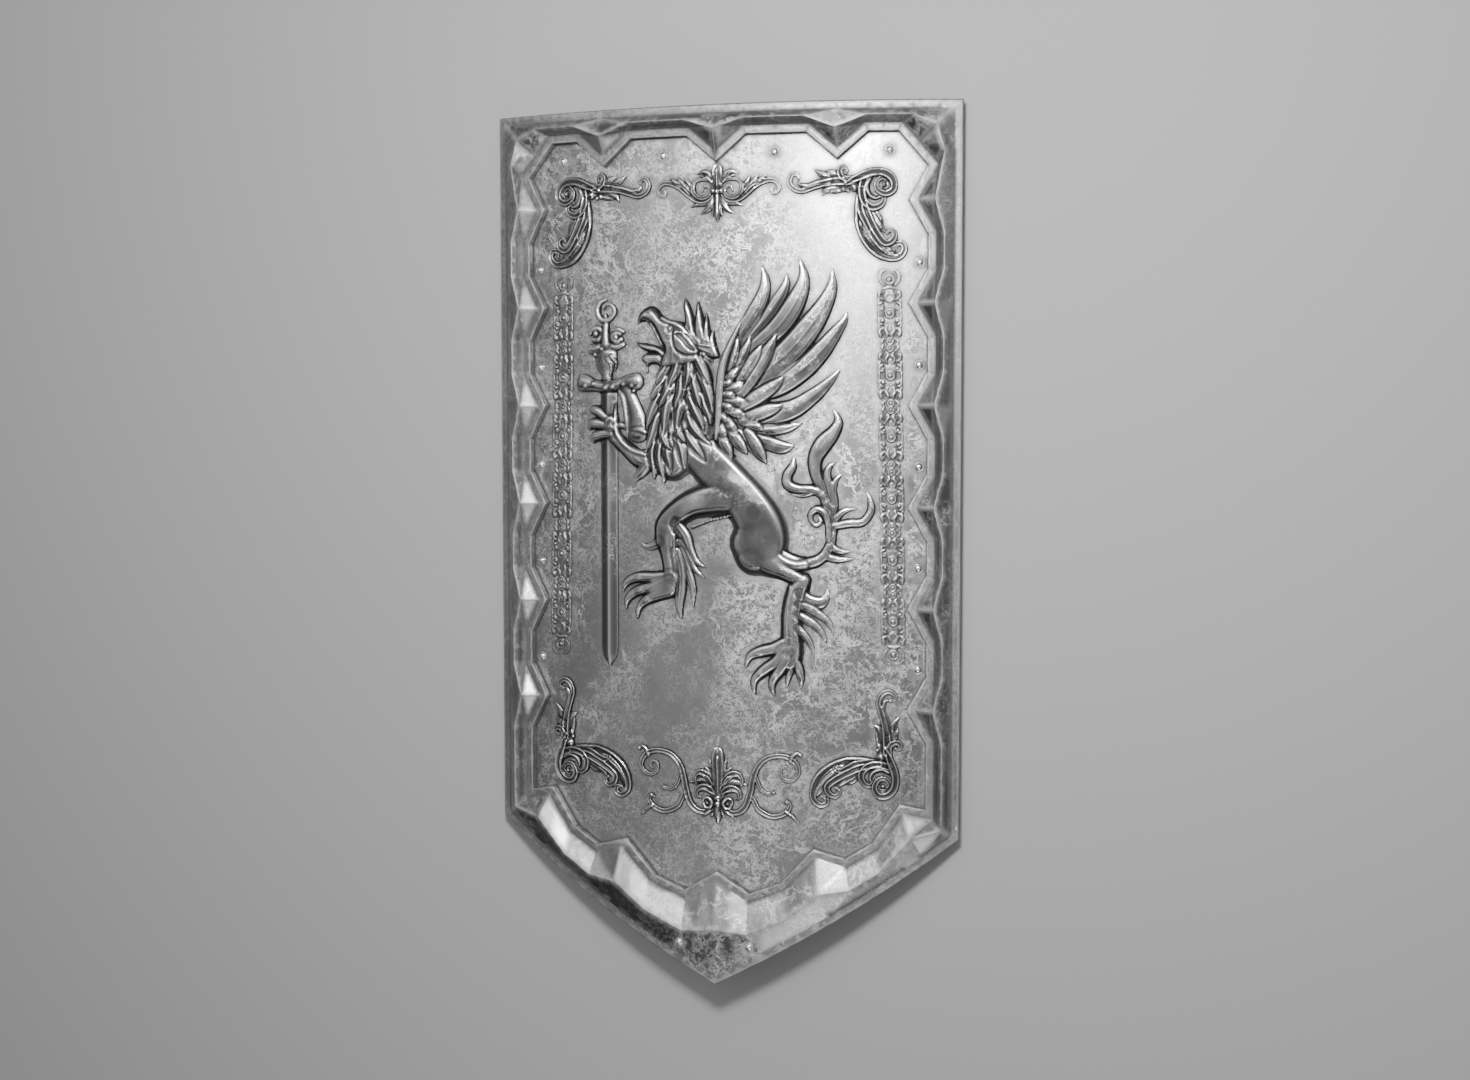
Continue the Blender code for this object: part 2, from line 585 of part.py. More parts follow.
def griffin_strokes():
    """The rampant griffin and the sword in its claws: (u, v, half width) along each stroke."""
    body = 9.0
    strokes = [
        # Skull and hooked beak, tongue, lower beak and beard
        ([(-58, -322, 22), (-78, -301, 17), (-95, -281, 13), (-110, -281, 8), (-119, -288, 4),
          (-121, -297, 0.6)], 9.0),
        ([(-70, -330, 8), (-97, -323, 6), (-127, -314, 1.2)], 5.0),
        ([(-66, -338, 10), (-92, -338, 6), (-114, -339, 1.2)], 5.0),
        ([(-94, -338, 6), (-105, -350, 4), (-104, -362, 0.8)], 4.0),
        # Ear and the tufts of the crest
        ([(-62, -310, 9), (-44, -318, 12), (-27, -332, 0.8)], 9.5),
        ([(-44, -315, 11), (-42, -286, 7), (-48, -254, 0.8)], 6.5),
        ([(-28, -318, 10), (-26, -285, 6.5), (-30, -256, 0.8)], 6.0),
        ([(-14, -325, 9), (-12, -295, 6), (-16, -274, 0.8)], 5.5),
        ([(-2, -335, 8), (-3, -314, 4), (-5, -298, 0.8)], 5.0),
        # Neck and chest
        ([(-40, -325, 34), (-43, -350, 39), (-47, -390, 43), (-51, -430, 50), (-57, -460, 45),
          (-62, -484, 30)], body),
        # Foreleg that holds the blade, its elbow and claws
        ([(-80, -470, 16), (-115, -479, 15), (-138, -462, 11), (-158, -444, 10), (-172, -434, 12)], 8.0),
        ([(-108, -482, 13), (-116, -497, 8), (-123, -510, 0.8)], 5.0),
        ([(-162, -424, 7), (-178, -411, 7), (-189, -407, 4)], 9.0),
        ([(-166, -433, 7), (-184, -427, 7), (-194, -430, 3)], 9.0),
        ([(-170, -442, 6), (-183, -442, 6), (-190, -450, 3)], 8.0),
        ([(-150, -450, 4), (-150, -420, 3), (-153, -398, 1)], 6.0),
        # The other foreleg, at the crossguard
        ([(-118, -438, 17), (-119, -412, 13), (-126, -390, 11), (-131, -376, 8)], 7.0),
        ([(-148, -382, 3), (-138, -402, 5), (-134, -428, 5), (-134, -449, 1)], 7.0),
        ([(-160, -431, 6), (-136, -433, 5)], 7.0),
        # Trunk, haunch, hock and shank of the standing leg
        ([(-38, -448, 34), (-4, -486, 37), (24, -520, 36), (52, -552, 36), (60, -588, 42), (52, -608, 26)],
          10.0),
        ([(52, -592, 30), (76, -613, 21), (100, -628, 13), (128, -634, 7)], 9.5),
        ([(128, -630, 7), (113, -652, 17), (106, -688, 13), (105, -720, 13), (104, -748, 17)], 8.0),
        ([(100, -728, 14), (72, -735, 8), (51, -741, 7), (42, -762, 0.8)], 7.0),
        ([(98, -738, 14), (66, -758, 8), (52, -776, 6), (55, -798, 0.8)], 7.0),
        ([(98, -746, 12), (82, -772, 7), (84, -799, 0.8)], 7.0),
        ([(104, -748, 9), (99, -788, 0.8)], 6.0),
        ([(112, -744, 11), (117, -768, 6), (119, -788, 0.8)], 7.0),
        ([(120, -655, 9), (144, -670, 9), (155, -647, 0.8)], 5.0),
        ([(112, -664, 9), (147, -687, 6), (162, -714, 0.8)], 5.0),
        ([(112, -684, 8), (140, -704, 5), (154, -726, 0.8)], 5.0),
        ([(112, -705, 8), (129, -727, 5), (137, -746, 0.8)], 5.0),
        # Raised hind leg with its spur, fur and claws
        ([(20, -532, 22), (-22, -537, 22), (-56, -551, 18), (-76, -568, 18), (-74, -596, 17),
          (-70, -622, 11), (-72, -642, 13)], 9.0),
        ([(-84, -588, 9), (-102, -596, 6), (-114, -591, 0.8)], 5.0),
        ([(-62, -570, 12), (-46, -604, 10), (-17, -625, 0.8)], 6.0),
        ([(-56, -596, 11), (-36, -630, 5), (-16, -641, 0.8)], 5.0),
        ([(-58, -600, 9), (-54, -640, 10), (-56, -678, 6), (-53, -698, 0.8)], 6.0),
        ([(-48, -610, 9), (-38, -652, 6), (-36, -683, 0.8)], 5.0),
        ([(-70, -642, 12), (-112, -641, 7), (-134, -648, 5), (-143, -662, 0.8)], 7.0),
        ([(-74, -648, 11), (-116, -659, 7), (-134, -670, 5), (-138, -687, 0.8)], 7.0),
        ([(-72, -654, 12), (-105, -669, 7), (-119, -682, 5), (-120, -700, 0.8)], 7.0),
        # Tail: stem and main flame, curl and side flames
        ([(84, -604, 10), (112, -614, 9), (136, -614, 8), (155, -601, 8), (164, -582, 8), (163, -556, 9),
          (154, -524, 9), (138, -494, 10), (138, -468, 11), (154, -452, 10), (168, -436, 6),
              (157, -405, 0.8)], 7.0),
        (volute((142, -557), -20, 1.25, 15, 5, 5, clockwise=False, steps=8), 5.0),
        ([(154, -523, 6), (124, -516, 6), (101, -511, 7), (104, -492, 7), (108, -472, 0.8)], 5.5),
        ([(162, -540, 6), (164, -512, 5), (160, -495, 4), (168, -480, 0.8)], 4.0),
        ([(163, -566, 7), (190, -562, 5), (212, -545, 5), (208, -519, 0.8)], 4.0),
        ([(158, -598, 6), (174, -608, 4), (194, -609, 0.8)], 4.0),
        ([(160, -552, 6), (178, -543, 4), (195, -542, 0.8)], 3.5),
        # Leading edge of the wing and the web that carries the feathers
        ([(-4, -440, 9), (1, -385, 10), (6, -346, 9), (22, -318, 7), (40, -288, 5)], 9.5),
        ([(6, -436, 20), (34, -400, 30), (52, -362, 24), (62, -330, 12)], 5.5),
        # Sword: blade, crossguard, hilt, pommel lobes and ring
        ([(-164, -380, 13.5), (-164, -560, 13.5), (-164, -744, 13.5), (-163, -767, 0.8)], 6.0),
        ([(-206, -372, 12), (-192, -375, 8), (-165, -376, 9), (-138, -373, 8), (-120, -370, 13)], 9.0),
        ([(-168, -328, 20), (-168, -342, 18), (-167, -356, 10), (-166, -374, 9)], 8.0),
        ([(-186, -322, 9), (-168, -318, 11), (-150, -320, 9)], 7.0),
        ([(-194, -304, 4), (-186, -304, 10), (-176, -306, 9), (-158, -308, 9), (-148, -307, 9),
          (-140, -312, 3)], 7.0),
        ([(-168, -312, 9), (-167, -290, 5), (-170, -284, 4)], 7.0),
        (volute((-166, -272), 250, 0.95, 13.5, 13, 4.5, clockwise=True, steps=9), 6.0),
    ]
    feathers = (
        ((26, -322), (64, -216), -14, 11), ((46, -318), (98, -226), -9, 8), ((38, -346), (115, -203),
            -20, 12),
        ((74, -352), (162, -220), -19, 14), ((86, -388), (181, -276), -17, 12), ((66, -424), (173, -354),
            -15, 12),
        ((32, -436), (119, -429), -9, 8), ((44, -450), (108, -459), -8, 9), ((34, -448), (72, -484), 2, 9))
    coverts = (
        ((30, -378), (84, -309), -5, 9), ((44, -394), (95, -369), -8, 9), ((38, -414), (94, -404), -7, 8),
        ((16, -372), (50, -318), -3, 6), ((12, -436), (42, -468), 5, 9), ((-14, -450), (20, -477), -3, 9),
        ((-14, -474), (7, -499), -2, 8))
    locks = (
        ((-70, -340), (-86, -373), 0, 6), ((-72, -362), (-95, -395), 0, 7), ((-86, -440), (-92, -506),
            3, 8),
        ((-74, -445), (-77, -509), 2, 8), ((-62, -445), (-65, -496), 3, 7), ((-48, -440), (-47, -491),
            3, 8),
        ((-72, -395), (-77, -442), 4, 7), ((-50, -400), (-60, -440), -3, 7), ((-34, -372), (-5, -415),
            -3, 8),
        ((-42, -396), (-14, -436), -3, 8), ((-50, -412), (-28, -446), -3, 8), ((-40, -446), (-16, -478),
            -2, 9))
    strokes += [(blade(*feather), 7.5) for feather in feathers]
    strokes += [(blade(*feather), 9.5) for feather in coverts]
    strokes += [(blade(*lock), 11.0) for lock in locks]
    return strokes


def corner_strokes():
    """The scroll and leaf of a corner, drawn for the top right one about its big volute."""
    return [
        (volute((1, 0), 205, 1.55, 19, 5, 6, steps=8), 7.5),
        ([(-23, 4, 5), (-28, -10, 6), (-18, -26, 7), (-4, -25, 6), (1, -17, 1)], 7.0),
        ([(-20, 6, 8), (-46, 2, 9), (-66, 5, 8), (-84, 3, 6), (-107, -3, 5), (-125, -3, 5), (-131, 9, 5),
          (-124, 18, 4), (-117, 12, 1)], 5.5),
        ([(-48, 4, 6), (-60, 12, 6), (-56, 26, 5), (-50, 21, 1)], 6.0),
        ([(-68, 8, 7), (-86, 16, 5), (-98, 24, 0.8)], 4.5),
        ([(-66, -2, 7), (-80, -4, 5), (-86, -13, 0.8)], 4.5),
        ([(-30, -4, 8), (-30, -38, 12), (-21, -66, 14), (-2, -85, 13), (20, -86, 12), (27, -76, 4)], 6.0),
        ([(-14, -30, 8), (-8, -54, 7), (3, -68, 7), (13, -67, 5), (8, -56, 1)], 7.0),
        ([(-36, -30, 5), (-32, -54, 6), (-23, -62, 5), (-26, -53, 1)], 6.5),
    ]


def turned(strokes, centre, quarter, flip):
    """The strokes turned by quarter turns clockwise, placed, and reflected for the left side."""
    out = []
    for line, height in strokes:
        moved = []
        for u, v, w in line:
            for _ in range(quarter):
                u, v = v, -u
            moved.append(((centre[0] + u) * flip, centre[1] + v, w))
        out.append((moved, height))
    return out


def both_sides(strokes):
    """Each stroke and its reflection in the middle line."""
    out = list(strokes)
    for line, height in strokes:
        out.append(([(-u, v, w) for u, v, w in line], height))
    return out


def top_crest_strokes():
    """The small palmette under the top edge, its origin at the knot."""
    middle = [([(0, 12, 7), (0, 22, 9), (0, 33, 4)], 6.5), ([(0, -4, 8), (0, -28, 7), (0, -40, 3)], 6.0),
              ([(-10, 0, 6), (10, 0, 6)], 7.0)]
    half = [
        ([(2, 12, 5), (14, 24, 4), (29, 24, 0.8)], 4.5),
        (volute((17, 2), 235, 1.3, 9, 3, 3.5, clockwise=False, steps=8), 5.5),
        ([(10, -8, 4), (24, -9, 4), (34, 0, 4), (34, 10, 4), (22, 16, 4), (10, 14, 3)], 5.0),
        ([(30, -6, 5), (46, 6, 7), (62, 14, 5), (78, 15, 4), (88, 6, 3.5), (87, -4, 3), (79, -6, 3),
          (77, 2, 2)], 5.0),
        ([(42, 2, 5), (49, 21, 0.8)], 4.0),
        ([(54, 8, 5), (69, 21, 0.8)], 4.0),
        ([(4, -8, 5), (22, -17, 5), (38, -22, 0.8)], 5.0),
        ([(2, -10, 5), (12, -24, 6), (24, -32, 0.8)], 5.0),
    ]
    return middle + both_sides(half)


def bottom_crest_strokes():
    """The taller palmette over the point, with long scrolled arms, its origin at its band."""
    middle = [([(0, -4, 9), (0, 40, 12), (0, 62, 10), (0, 76, 4)], 6.5), ([(0, 2, 7), (0, -25, 3)], 6.5)]
    half = [
        ([(3, 26, 6), (18, 43, 6), (34, 37, 4), (44, 26, 1)], 5.0),
        ([(3, 10, 6), (19, 21, 6), (33, 14, 4), (26, 7, 1)], 5.5),
        (volute((15, -1), 200, 1.2, 8, 3, 3.5, clockwise=True, steps=8), 6.0),
        ([(4, -10, 4), (22, -14, 5), (38, -7, 5), (48, 14, 5), (54, 44, 5), (64, 64, 5), (82, 71, 4.5),
          (100, 67, 5), (112, 56, 4.5), (110, 42, 4), (98, 36, 3.5), (89, 45, 3), (96, 53, 2.5)], 5.0),
        ([(104, 64, 4), (108, 74, 4), (117, 73, 3)], 4.5),
        ([(54, 30, 4), (56, 6, 5), (68, -9, 5), (88, -17, 5), (103, -11, 5), (106, 2, 5), (98, 9, 3)], 5.0),
        ([(100, -12, 4), (114, -21, 2)], 4.0),
        ([(56, 32, 3.5), (62, 20, 3), (80, 18, 2.5)], 4.0),
    ]
    return middle + both_sides(half)


BAND_MODULES = 6
BAND_DRAWN_PITCH = 82.8
BAND_DROP = 281.0
BAND_FOOT_RISE = 505.0
BAND_ROWS = ((0, 15.5), (-19, 13), (-28, 16), (-41, 12), (-55, 16), (-64, 13))
BAND_BUD = ((28, 15), (36, 9), (44, 13), (52, 12), (58, 5))
ROSETTE = (7.0, 3.5, 4.2)


def band_pitch():
    return (HEIGHT / MM - BAND_DROP - BAND_FOOT_RISE) / (BAND_MODULES - 1)


def band_strokes(lean):
    """One scalloped strip with a bud at each end, its origin at the uppermost rosette."""
    pitch = band_pitch()
    length = pitch * (BAND_MODULES - 1)
    stretch = pitch / BAND_DRAWN_PITCH
    line = [(0, v, w) for v, w in reversed(BAND_BUD)] + [(0, 19, 13)]
    for number in range(BAND_MODULES):
        for drop, w in BAND_ROWS[:2 if number == BAND_MODULES - 1 else None]:
            line.append((0, drop * stretch - pitch * number, w))
    line += [(0, -length - v, w) for v, w in BAND_BUD[1:]]
    return [([(-lean * v / length, v, w) for _, v, w in line], 3.0)]


def rosettes(lean, flip):
    """A low stud at the middle of each rosette."""
    foot, top, height = ROSETTE
    studs = []
    for number in range(BAND_MODULES):
        stud = bmesh.new()
        bmesh.ops.create_cone(stud, cap_ends=True, segments=6, radius1=foot, radius2=top,
            depth=height - STROKE_FLOOR)
        place = Vector((lean * number / (BAND_MODULES - 1), -band_pitch() * number, 0))
        place += Vector((HALF / MM - BAND_INSET, -BAND_DROP, (height + STROKE_FLOOR) / 2))
        place.x *= flip
        bmesh.ops.translate(stud, verts=stud.verts, vec=place)
        mesh = bpy.data.meshes.new("stud")
        stud.to_mesh(mesh)
        stud.free()
        studs.append(mesh)
    return studs


def shifted(strokes, u, v, flip=1):
    return [([((u + a) * flip, v + b, w) for a, b, w in line], height) for line, height in strokes]


# Places of the castings, in millimetres on the unrolled face
TOP_CREST_DROP = 114.0
BOTTOM_CREST_RISE = 250.0
CORNER_INSET = 105.0
TOP_CORNER_DROP = 112.0
LOWER_CORNER_RISE = 281.0
BAND_INSET = 96.7
BAND_LEAN = 6.5


# Share of the triangles that each joined casting keeps
GRIFFIN_KEEP = 0.66
CREST_KEEP = 0.52
CORNER_KEEP = 0.54
BAND_KEEP = 0.50


def castings(group, material):
    half = HALF / MM
    low = -HEIGHT / MM
    cast("griffin_with_sword", fitted(griffin_strokes()), group, material, GRIFFIN_KEEP)
    cast("top_crest", shifted(top_crest_strokes(), 0, -TOP_CREST_DROP), group, material, CREST_KEEP)
    bottom = shifted(bottom_crest_strokes(), 0, low + BOTTOM_CREST_RISE)
    cast("bottom_crest", bottom, group, material, CREST_KEEP)
    centre = half - CORNER_INSET
    for flip, side in ((1, "right"), (-1, "left")):
        for place, drop, quarter in (("top", -TOP_CORNER_DROP, 0), ("low", low + LOWER_CORNER_RISE, 1)):
            scroll = turned(corner_strokes(), (centre, drop), quarter, flip)
            cast(f"corner_scroll_{place}_{side}", scroll, group, material, CORNER_KEEP)
        band = shifted(band_strokes(BAND_LEAN), half - BAND_INSET, -BAND_DROP, flip)
        cast(f"side_band_{side}", band, group, material, BAND_KEEP, rosettes(BAND_LEAN, flip))


# Hand grip behind the plate

def hand_grip(group, cutters, material):
    """A bent round bar with flat pads, its middle a hand's clearance behind the plate."""
    level = -PLATE_BACK - GAP
    v = -GRIP_FROM_TOP
    depth = GRIP_CLEARANCE + GRIP_BAR / 2
    half = GRIP_SPAN / 2
    line = bpy.data.curves.new("hand_grip", "CURVE")
    line.dimensions = "3D"
    line.bevel_depth = GRIP_BAR / 2
    line.bevel_resolution = GRIP_SIDES // 4 - 1
    line.use_fill_caps = True
    turns = [pi / 2 * k / GRIP_STEPS for k in range(GRIP_STEPS + 1)]
    arc = [(half - depth * GRIP_END_SWEEP * (1 - cos(turn)), depth * sin(turn)) for turn in turns]
    route = [(-u, d) for u, d in arc] + [(u, d) for u, d in reversed(arc)]
    path = line.splines.new("POLY")
    path.points.add(len(route) - 1)
    for point, (u, d) in zip(path.points, route):
        place = bend(u, v, level - GRIP_PAD[2] / 2 - d)
        point.co = (*place, 1.0)
    rod = bpy.data.objects.new("rod", line)
    bpy.context.scene.collection.objects.link(rod)
    bpy.context.view_layer.update()
    mesh = evaluated(rod)
    weld_and_face_out(mesh)
    bpy.data.objects.remove(rod, do_unlink=True)
    grip = add_object("hand_grip", mesh, group, material)
    for side in (-1, 1):
        pad = block(*([-s / 2 for s in GRIP_PAD], [s / 2 for s in GRIP_PAD]))
        pad.location = bend(side * half, v, level - GRIP_PAD[2] / 2)
        pad.rotation_euler = (0, side * half / FACE_RADIUS, 0)
        pad.name = "grip_pad"
        move_to_cutters(pad, cutters)
        boolean(grip, pad, "UNION")
    return grip


def main():
    clear_scene()
    parts = new_collection("tower_shield")
    cutters = new_collection("cutters")
    worn = steel("worn_steel", (0.42, 0.42, 0.43), 0.42)
    dark = steel("cast_steel", (0.33, 0.33, 0.34), 0.38)
    bright = steel("bright_steel", (0.60, 0.60, 0.61), 0.30)
    plain = steel("forged_steel", (0.25, 0.25, 0.26), 0.50)
    plate = shield_plate(parts, worn)
    frame = border_frame(parts, worn)
    bpy.context.view_layer.update()
    seats = [(name, rivet_seat(frame, u, v, on_border), on_border)
             for name, u, v, on_border in rivet_places()]
    for name, seat, on_border in seats:
        rivet(name, seat, parts, bright)
        cutter = hole_cutter(name + "_hole", seat, cutters)
        boolean(plate, cutter, "DIFFERENCE")
        if on_border:
            boolean(frame, cutter, "DIFFERENCE")
    castings(parts, dark)
    hand_grip(parts, cutters, plain)
    for item in parts.objects:
        round_off(item)
        item.modifiers.new("Triangulate", "TRIANGULATE")


main()
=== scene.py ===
# %% [markdown]
# # A cast griffin on a steel tower shield
#
# The shield is a curved sheet of steel held in a pressed frame, with cast ornaments riveted flat
# against its face and a hand grip behind. It is too big to stand by itself, so it lies face up on
# its two long edges and the camera looks down on it. The sheet metal has few shapes and much
# surface, the castings the opposite, so this lesson builds a small carving kit first, draws every
# ornament with it, and then spends its last third on worn steel.

# %% Load the measured model
from math import cos, pi, radians

import bmesh
import bpy
import numpy as np
from mathutils import Matrix, Vector
from mathutils.bvhtree import BVHTree
from mathutils.kdtree import KDTree


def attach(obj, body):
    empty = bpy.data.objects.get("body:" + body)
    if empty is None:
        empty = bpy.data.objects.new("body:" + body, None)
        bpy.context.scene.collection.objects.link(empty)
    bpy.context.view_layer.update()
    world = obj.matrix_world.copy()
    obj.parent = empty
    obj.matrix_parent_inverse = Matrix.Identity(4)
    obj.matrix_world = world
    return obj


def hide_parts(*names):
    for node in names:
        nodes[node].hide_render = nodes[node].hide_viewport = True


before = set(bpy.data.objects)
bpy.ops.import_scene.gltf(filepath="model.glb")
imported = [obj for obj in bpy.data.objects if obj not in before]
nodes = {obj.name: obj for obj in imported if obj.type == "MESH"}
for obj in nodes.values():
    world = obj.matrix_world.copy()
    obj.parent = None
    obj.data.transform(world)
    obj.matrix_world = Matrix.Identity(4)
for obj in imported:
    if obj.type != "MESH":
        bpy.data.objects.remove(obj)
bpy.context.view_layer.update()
print("pieces in the measured model:", len(nodes))

# %% [markdown]
# ## The curved face
#
# A smith marks a shield out on the flat sheet and bends it afterwards. The drawing works the same
# way: u runs across, v runs down from the top edge (so it is negative) and h is how far a point
# stands out. One function then wraps the flat drawing round the shield's curve, and no ornament
# needs to know that the sheet is bent.

# %% Sizes of the sheet and the wrap
MM = 0.001
HEIGHT = 1.200
HALF_GIRTH = 0.33525
POINT_DEPTH = 0.2112
FACE_RADIUS = 1.1306
SKIRT = 0.0243
FIELD_DEPTH = 0.020
SHEET = 0.002
CROWN = FACE_RADIUS - (FACE_RADIUS - SKIRT) * cos(HALF_GIRTH / FACE_RADIUS)


def on_shield(u, v, h):
    """Places in metres for arrays of u, v and h in metres."""
    turn = u / FACE_RADIUS
    reach = FACE_RADIUS + h
    return np.stack([reach * np.sin(turn), v + HEIGHT / 2, reach * np.cos(turn) - FACE_RADIUS + CROWN], -1)


def off_shield(places):
    """The other way round: arrays of u, v and h in metres for rows of places."""
    x, y, z = np.array(places, float).T
    z = z + FACE_RADIUS - CROWN
    return np.arctan2(x, z) * FACE_RADIUS, y - HEIGHT / 2, np.hypot(x, z) - FACE_RADIUS


print("the crown of the face is", round(CROWN / MM, 1), "mm above the floor")

# %% [markdown]
# ## A carving kit
#
# Cast ornament is carved in wax first: each feather, leaf or toe is one pull of the tool, laid over
# what is already there. A sculpted mesh could copy that by hand, but a lesson needs numbers, so the
# wax here is a fine grid of heights. Each stroke follows a smooth line through a few points with a
# half width at each, has a cross-section, presses down what it covers and cuts a fine groove round
# itself. Two hundred strokes then read as feathers, fur and claws.

# %% A smooth line through a few points
def smooth_line(points, step):
    """Dense rows of u, v and half width on a curve through the given ones."""
    given = np.array(points, float)
    if len(given) == 2:
        count = max(2, int(np.hypot(*(given[1] - given[0])[:2]) / step))
        way = np.linspace(0, 1, count + 1)[:, None]
        return given[0] * (1 - way) + given[1] * way
    ends = np.vstack([2 * given[0] - given[1], given, 2 * given[-1] - given[-2]])
    rows = []
    for index in range(len(given) - 1):
        a, b, c, d = ends[index:index + 4]
        count = max(2, int(np.hypot(*(c - b)[:2]) / step))
        t = (np.arange(count) / count)[:, None]
        rows.append(0.5 * (2 * b + (c - a) * t + (2 * a - 5 * b + 4 * c - d) * t ** 2
                           + (3 * b - a - 3 * c + d) * t ** 3))
    line = np.vstack(rows + [given[-1:]])
    line[:, 2] = np.maximum(line[:, 2], 0.3)
    return line


print("points on a curl of four:", len(smooth_line([(0, 0, 1), (5, 2, 1), (8, 8, 1), (4, 12, 1)], 1.0)))

# %% [markdown]
# A stroke's cross-section is what makes it read as a material thing. A round one is a body or a
# toe, a ridge is a hard crease, a leaf has a raised rim and a midrib, and a gutter is the hollow
# band with two rims that scrollwork is made of.

# %% Cross-sections of a stroke
def section_height(kind, far):
    """Height, as a share, at a share of the half width away from the middle line."""
    if kind == "flesh":
        return 0.32 + 0.68 * np.sqrt(np.clip(1 - far ** 2, 0, 1))
    if kind == "round":
        return np.sqrt(np.clip(1 - far ** 2, 0, 1))
    if kind == "ridge":
        return np.clip(1 - far, 0, 1) ** 0.75
    if kind == "lock":
        return np.clip((1 - far) / 0.25, 0, 1) * (0.55 + 0.45 * np.clip(1 - far, 0, 1) ** 0.9)
    if kind == "blade":
        return np.clip(1 - far, 0, 1) * 0.8 + np.clip((1 - far) / 0.08, 0, 1) * 0.2
    if kind == "feather":
        return 0.80 + 0.15 * (1 - far ** 2) + 0.05 * np.exp(-(far / 0.07) ** 2)
    if kind == "pad":
        return 0.75 + 0.25 * np.sqrt(np.clip(1 - far ** 2, 0, 1))
    if kind == "leaf":
        rim = np.exp(-((far - 0.80) / 0.16) ** 2)
        rib = np.exp(-(far / 0.11) ** 2)
        return 0.66 + 0.10 * rim + 0.14 * rib + 0.12 * (1 - far ** 2)
    if kind == "gutter":
        rim = np.exp(-((far - 0.62) / 0.30) ** 2)
        return 0.50 + 0.50 * rim
    return np.clip((1 - far) / 0.3, 0, 1)


# %% Flanks: how far in from its edge a form reaches its full height
# For each section: the longest rise in millimetres, and its largest share of the half width.
FLANKS = {"flesh": (13.0, 0.5), "pad": (5.0, 0.5), "feather": (4.5, 0.27), "gutter": (1.6, 0.5),
          "leaf": (1.3, 0.5)}


def flank(from_edge, reach):
    """A soft rise from 0 at the edge to 1 at the reach."""
    rise = np.clip(from_edge / reach, 0, 1)
    return rise * rise * (3 - 2 * rise)


# %% The wax: a grid of heights that takes strokes
EMPTY = -9.0
DEEPEST_GROOVE = 0.4


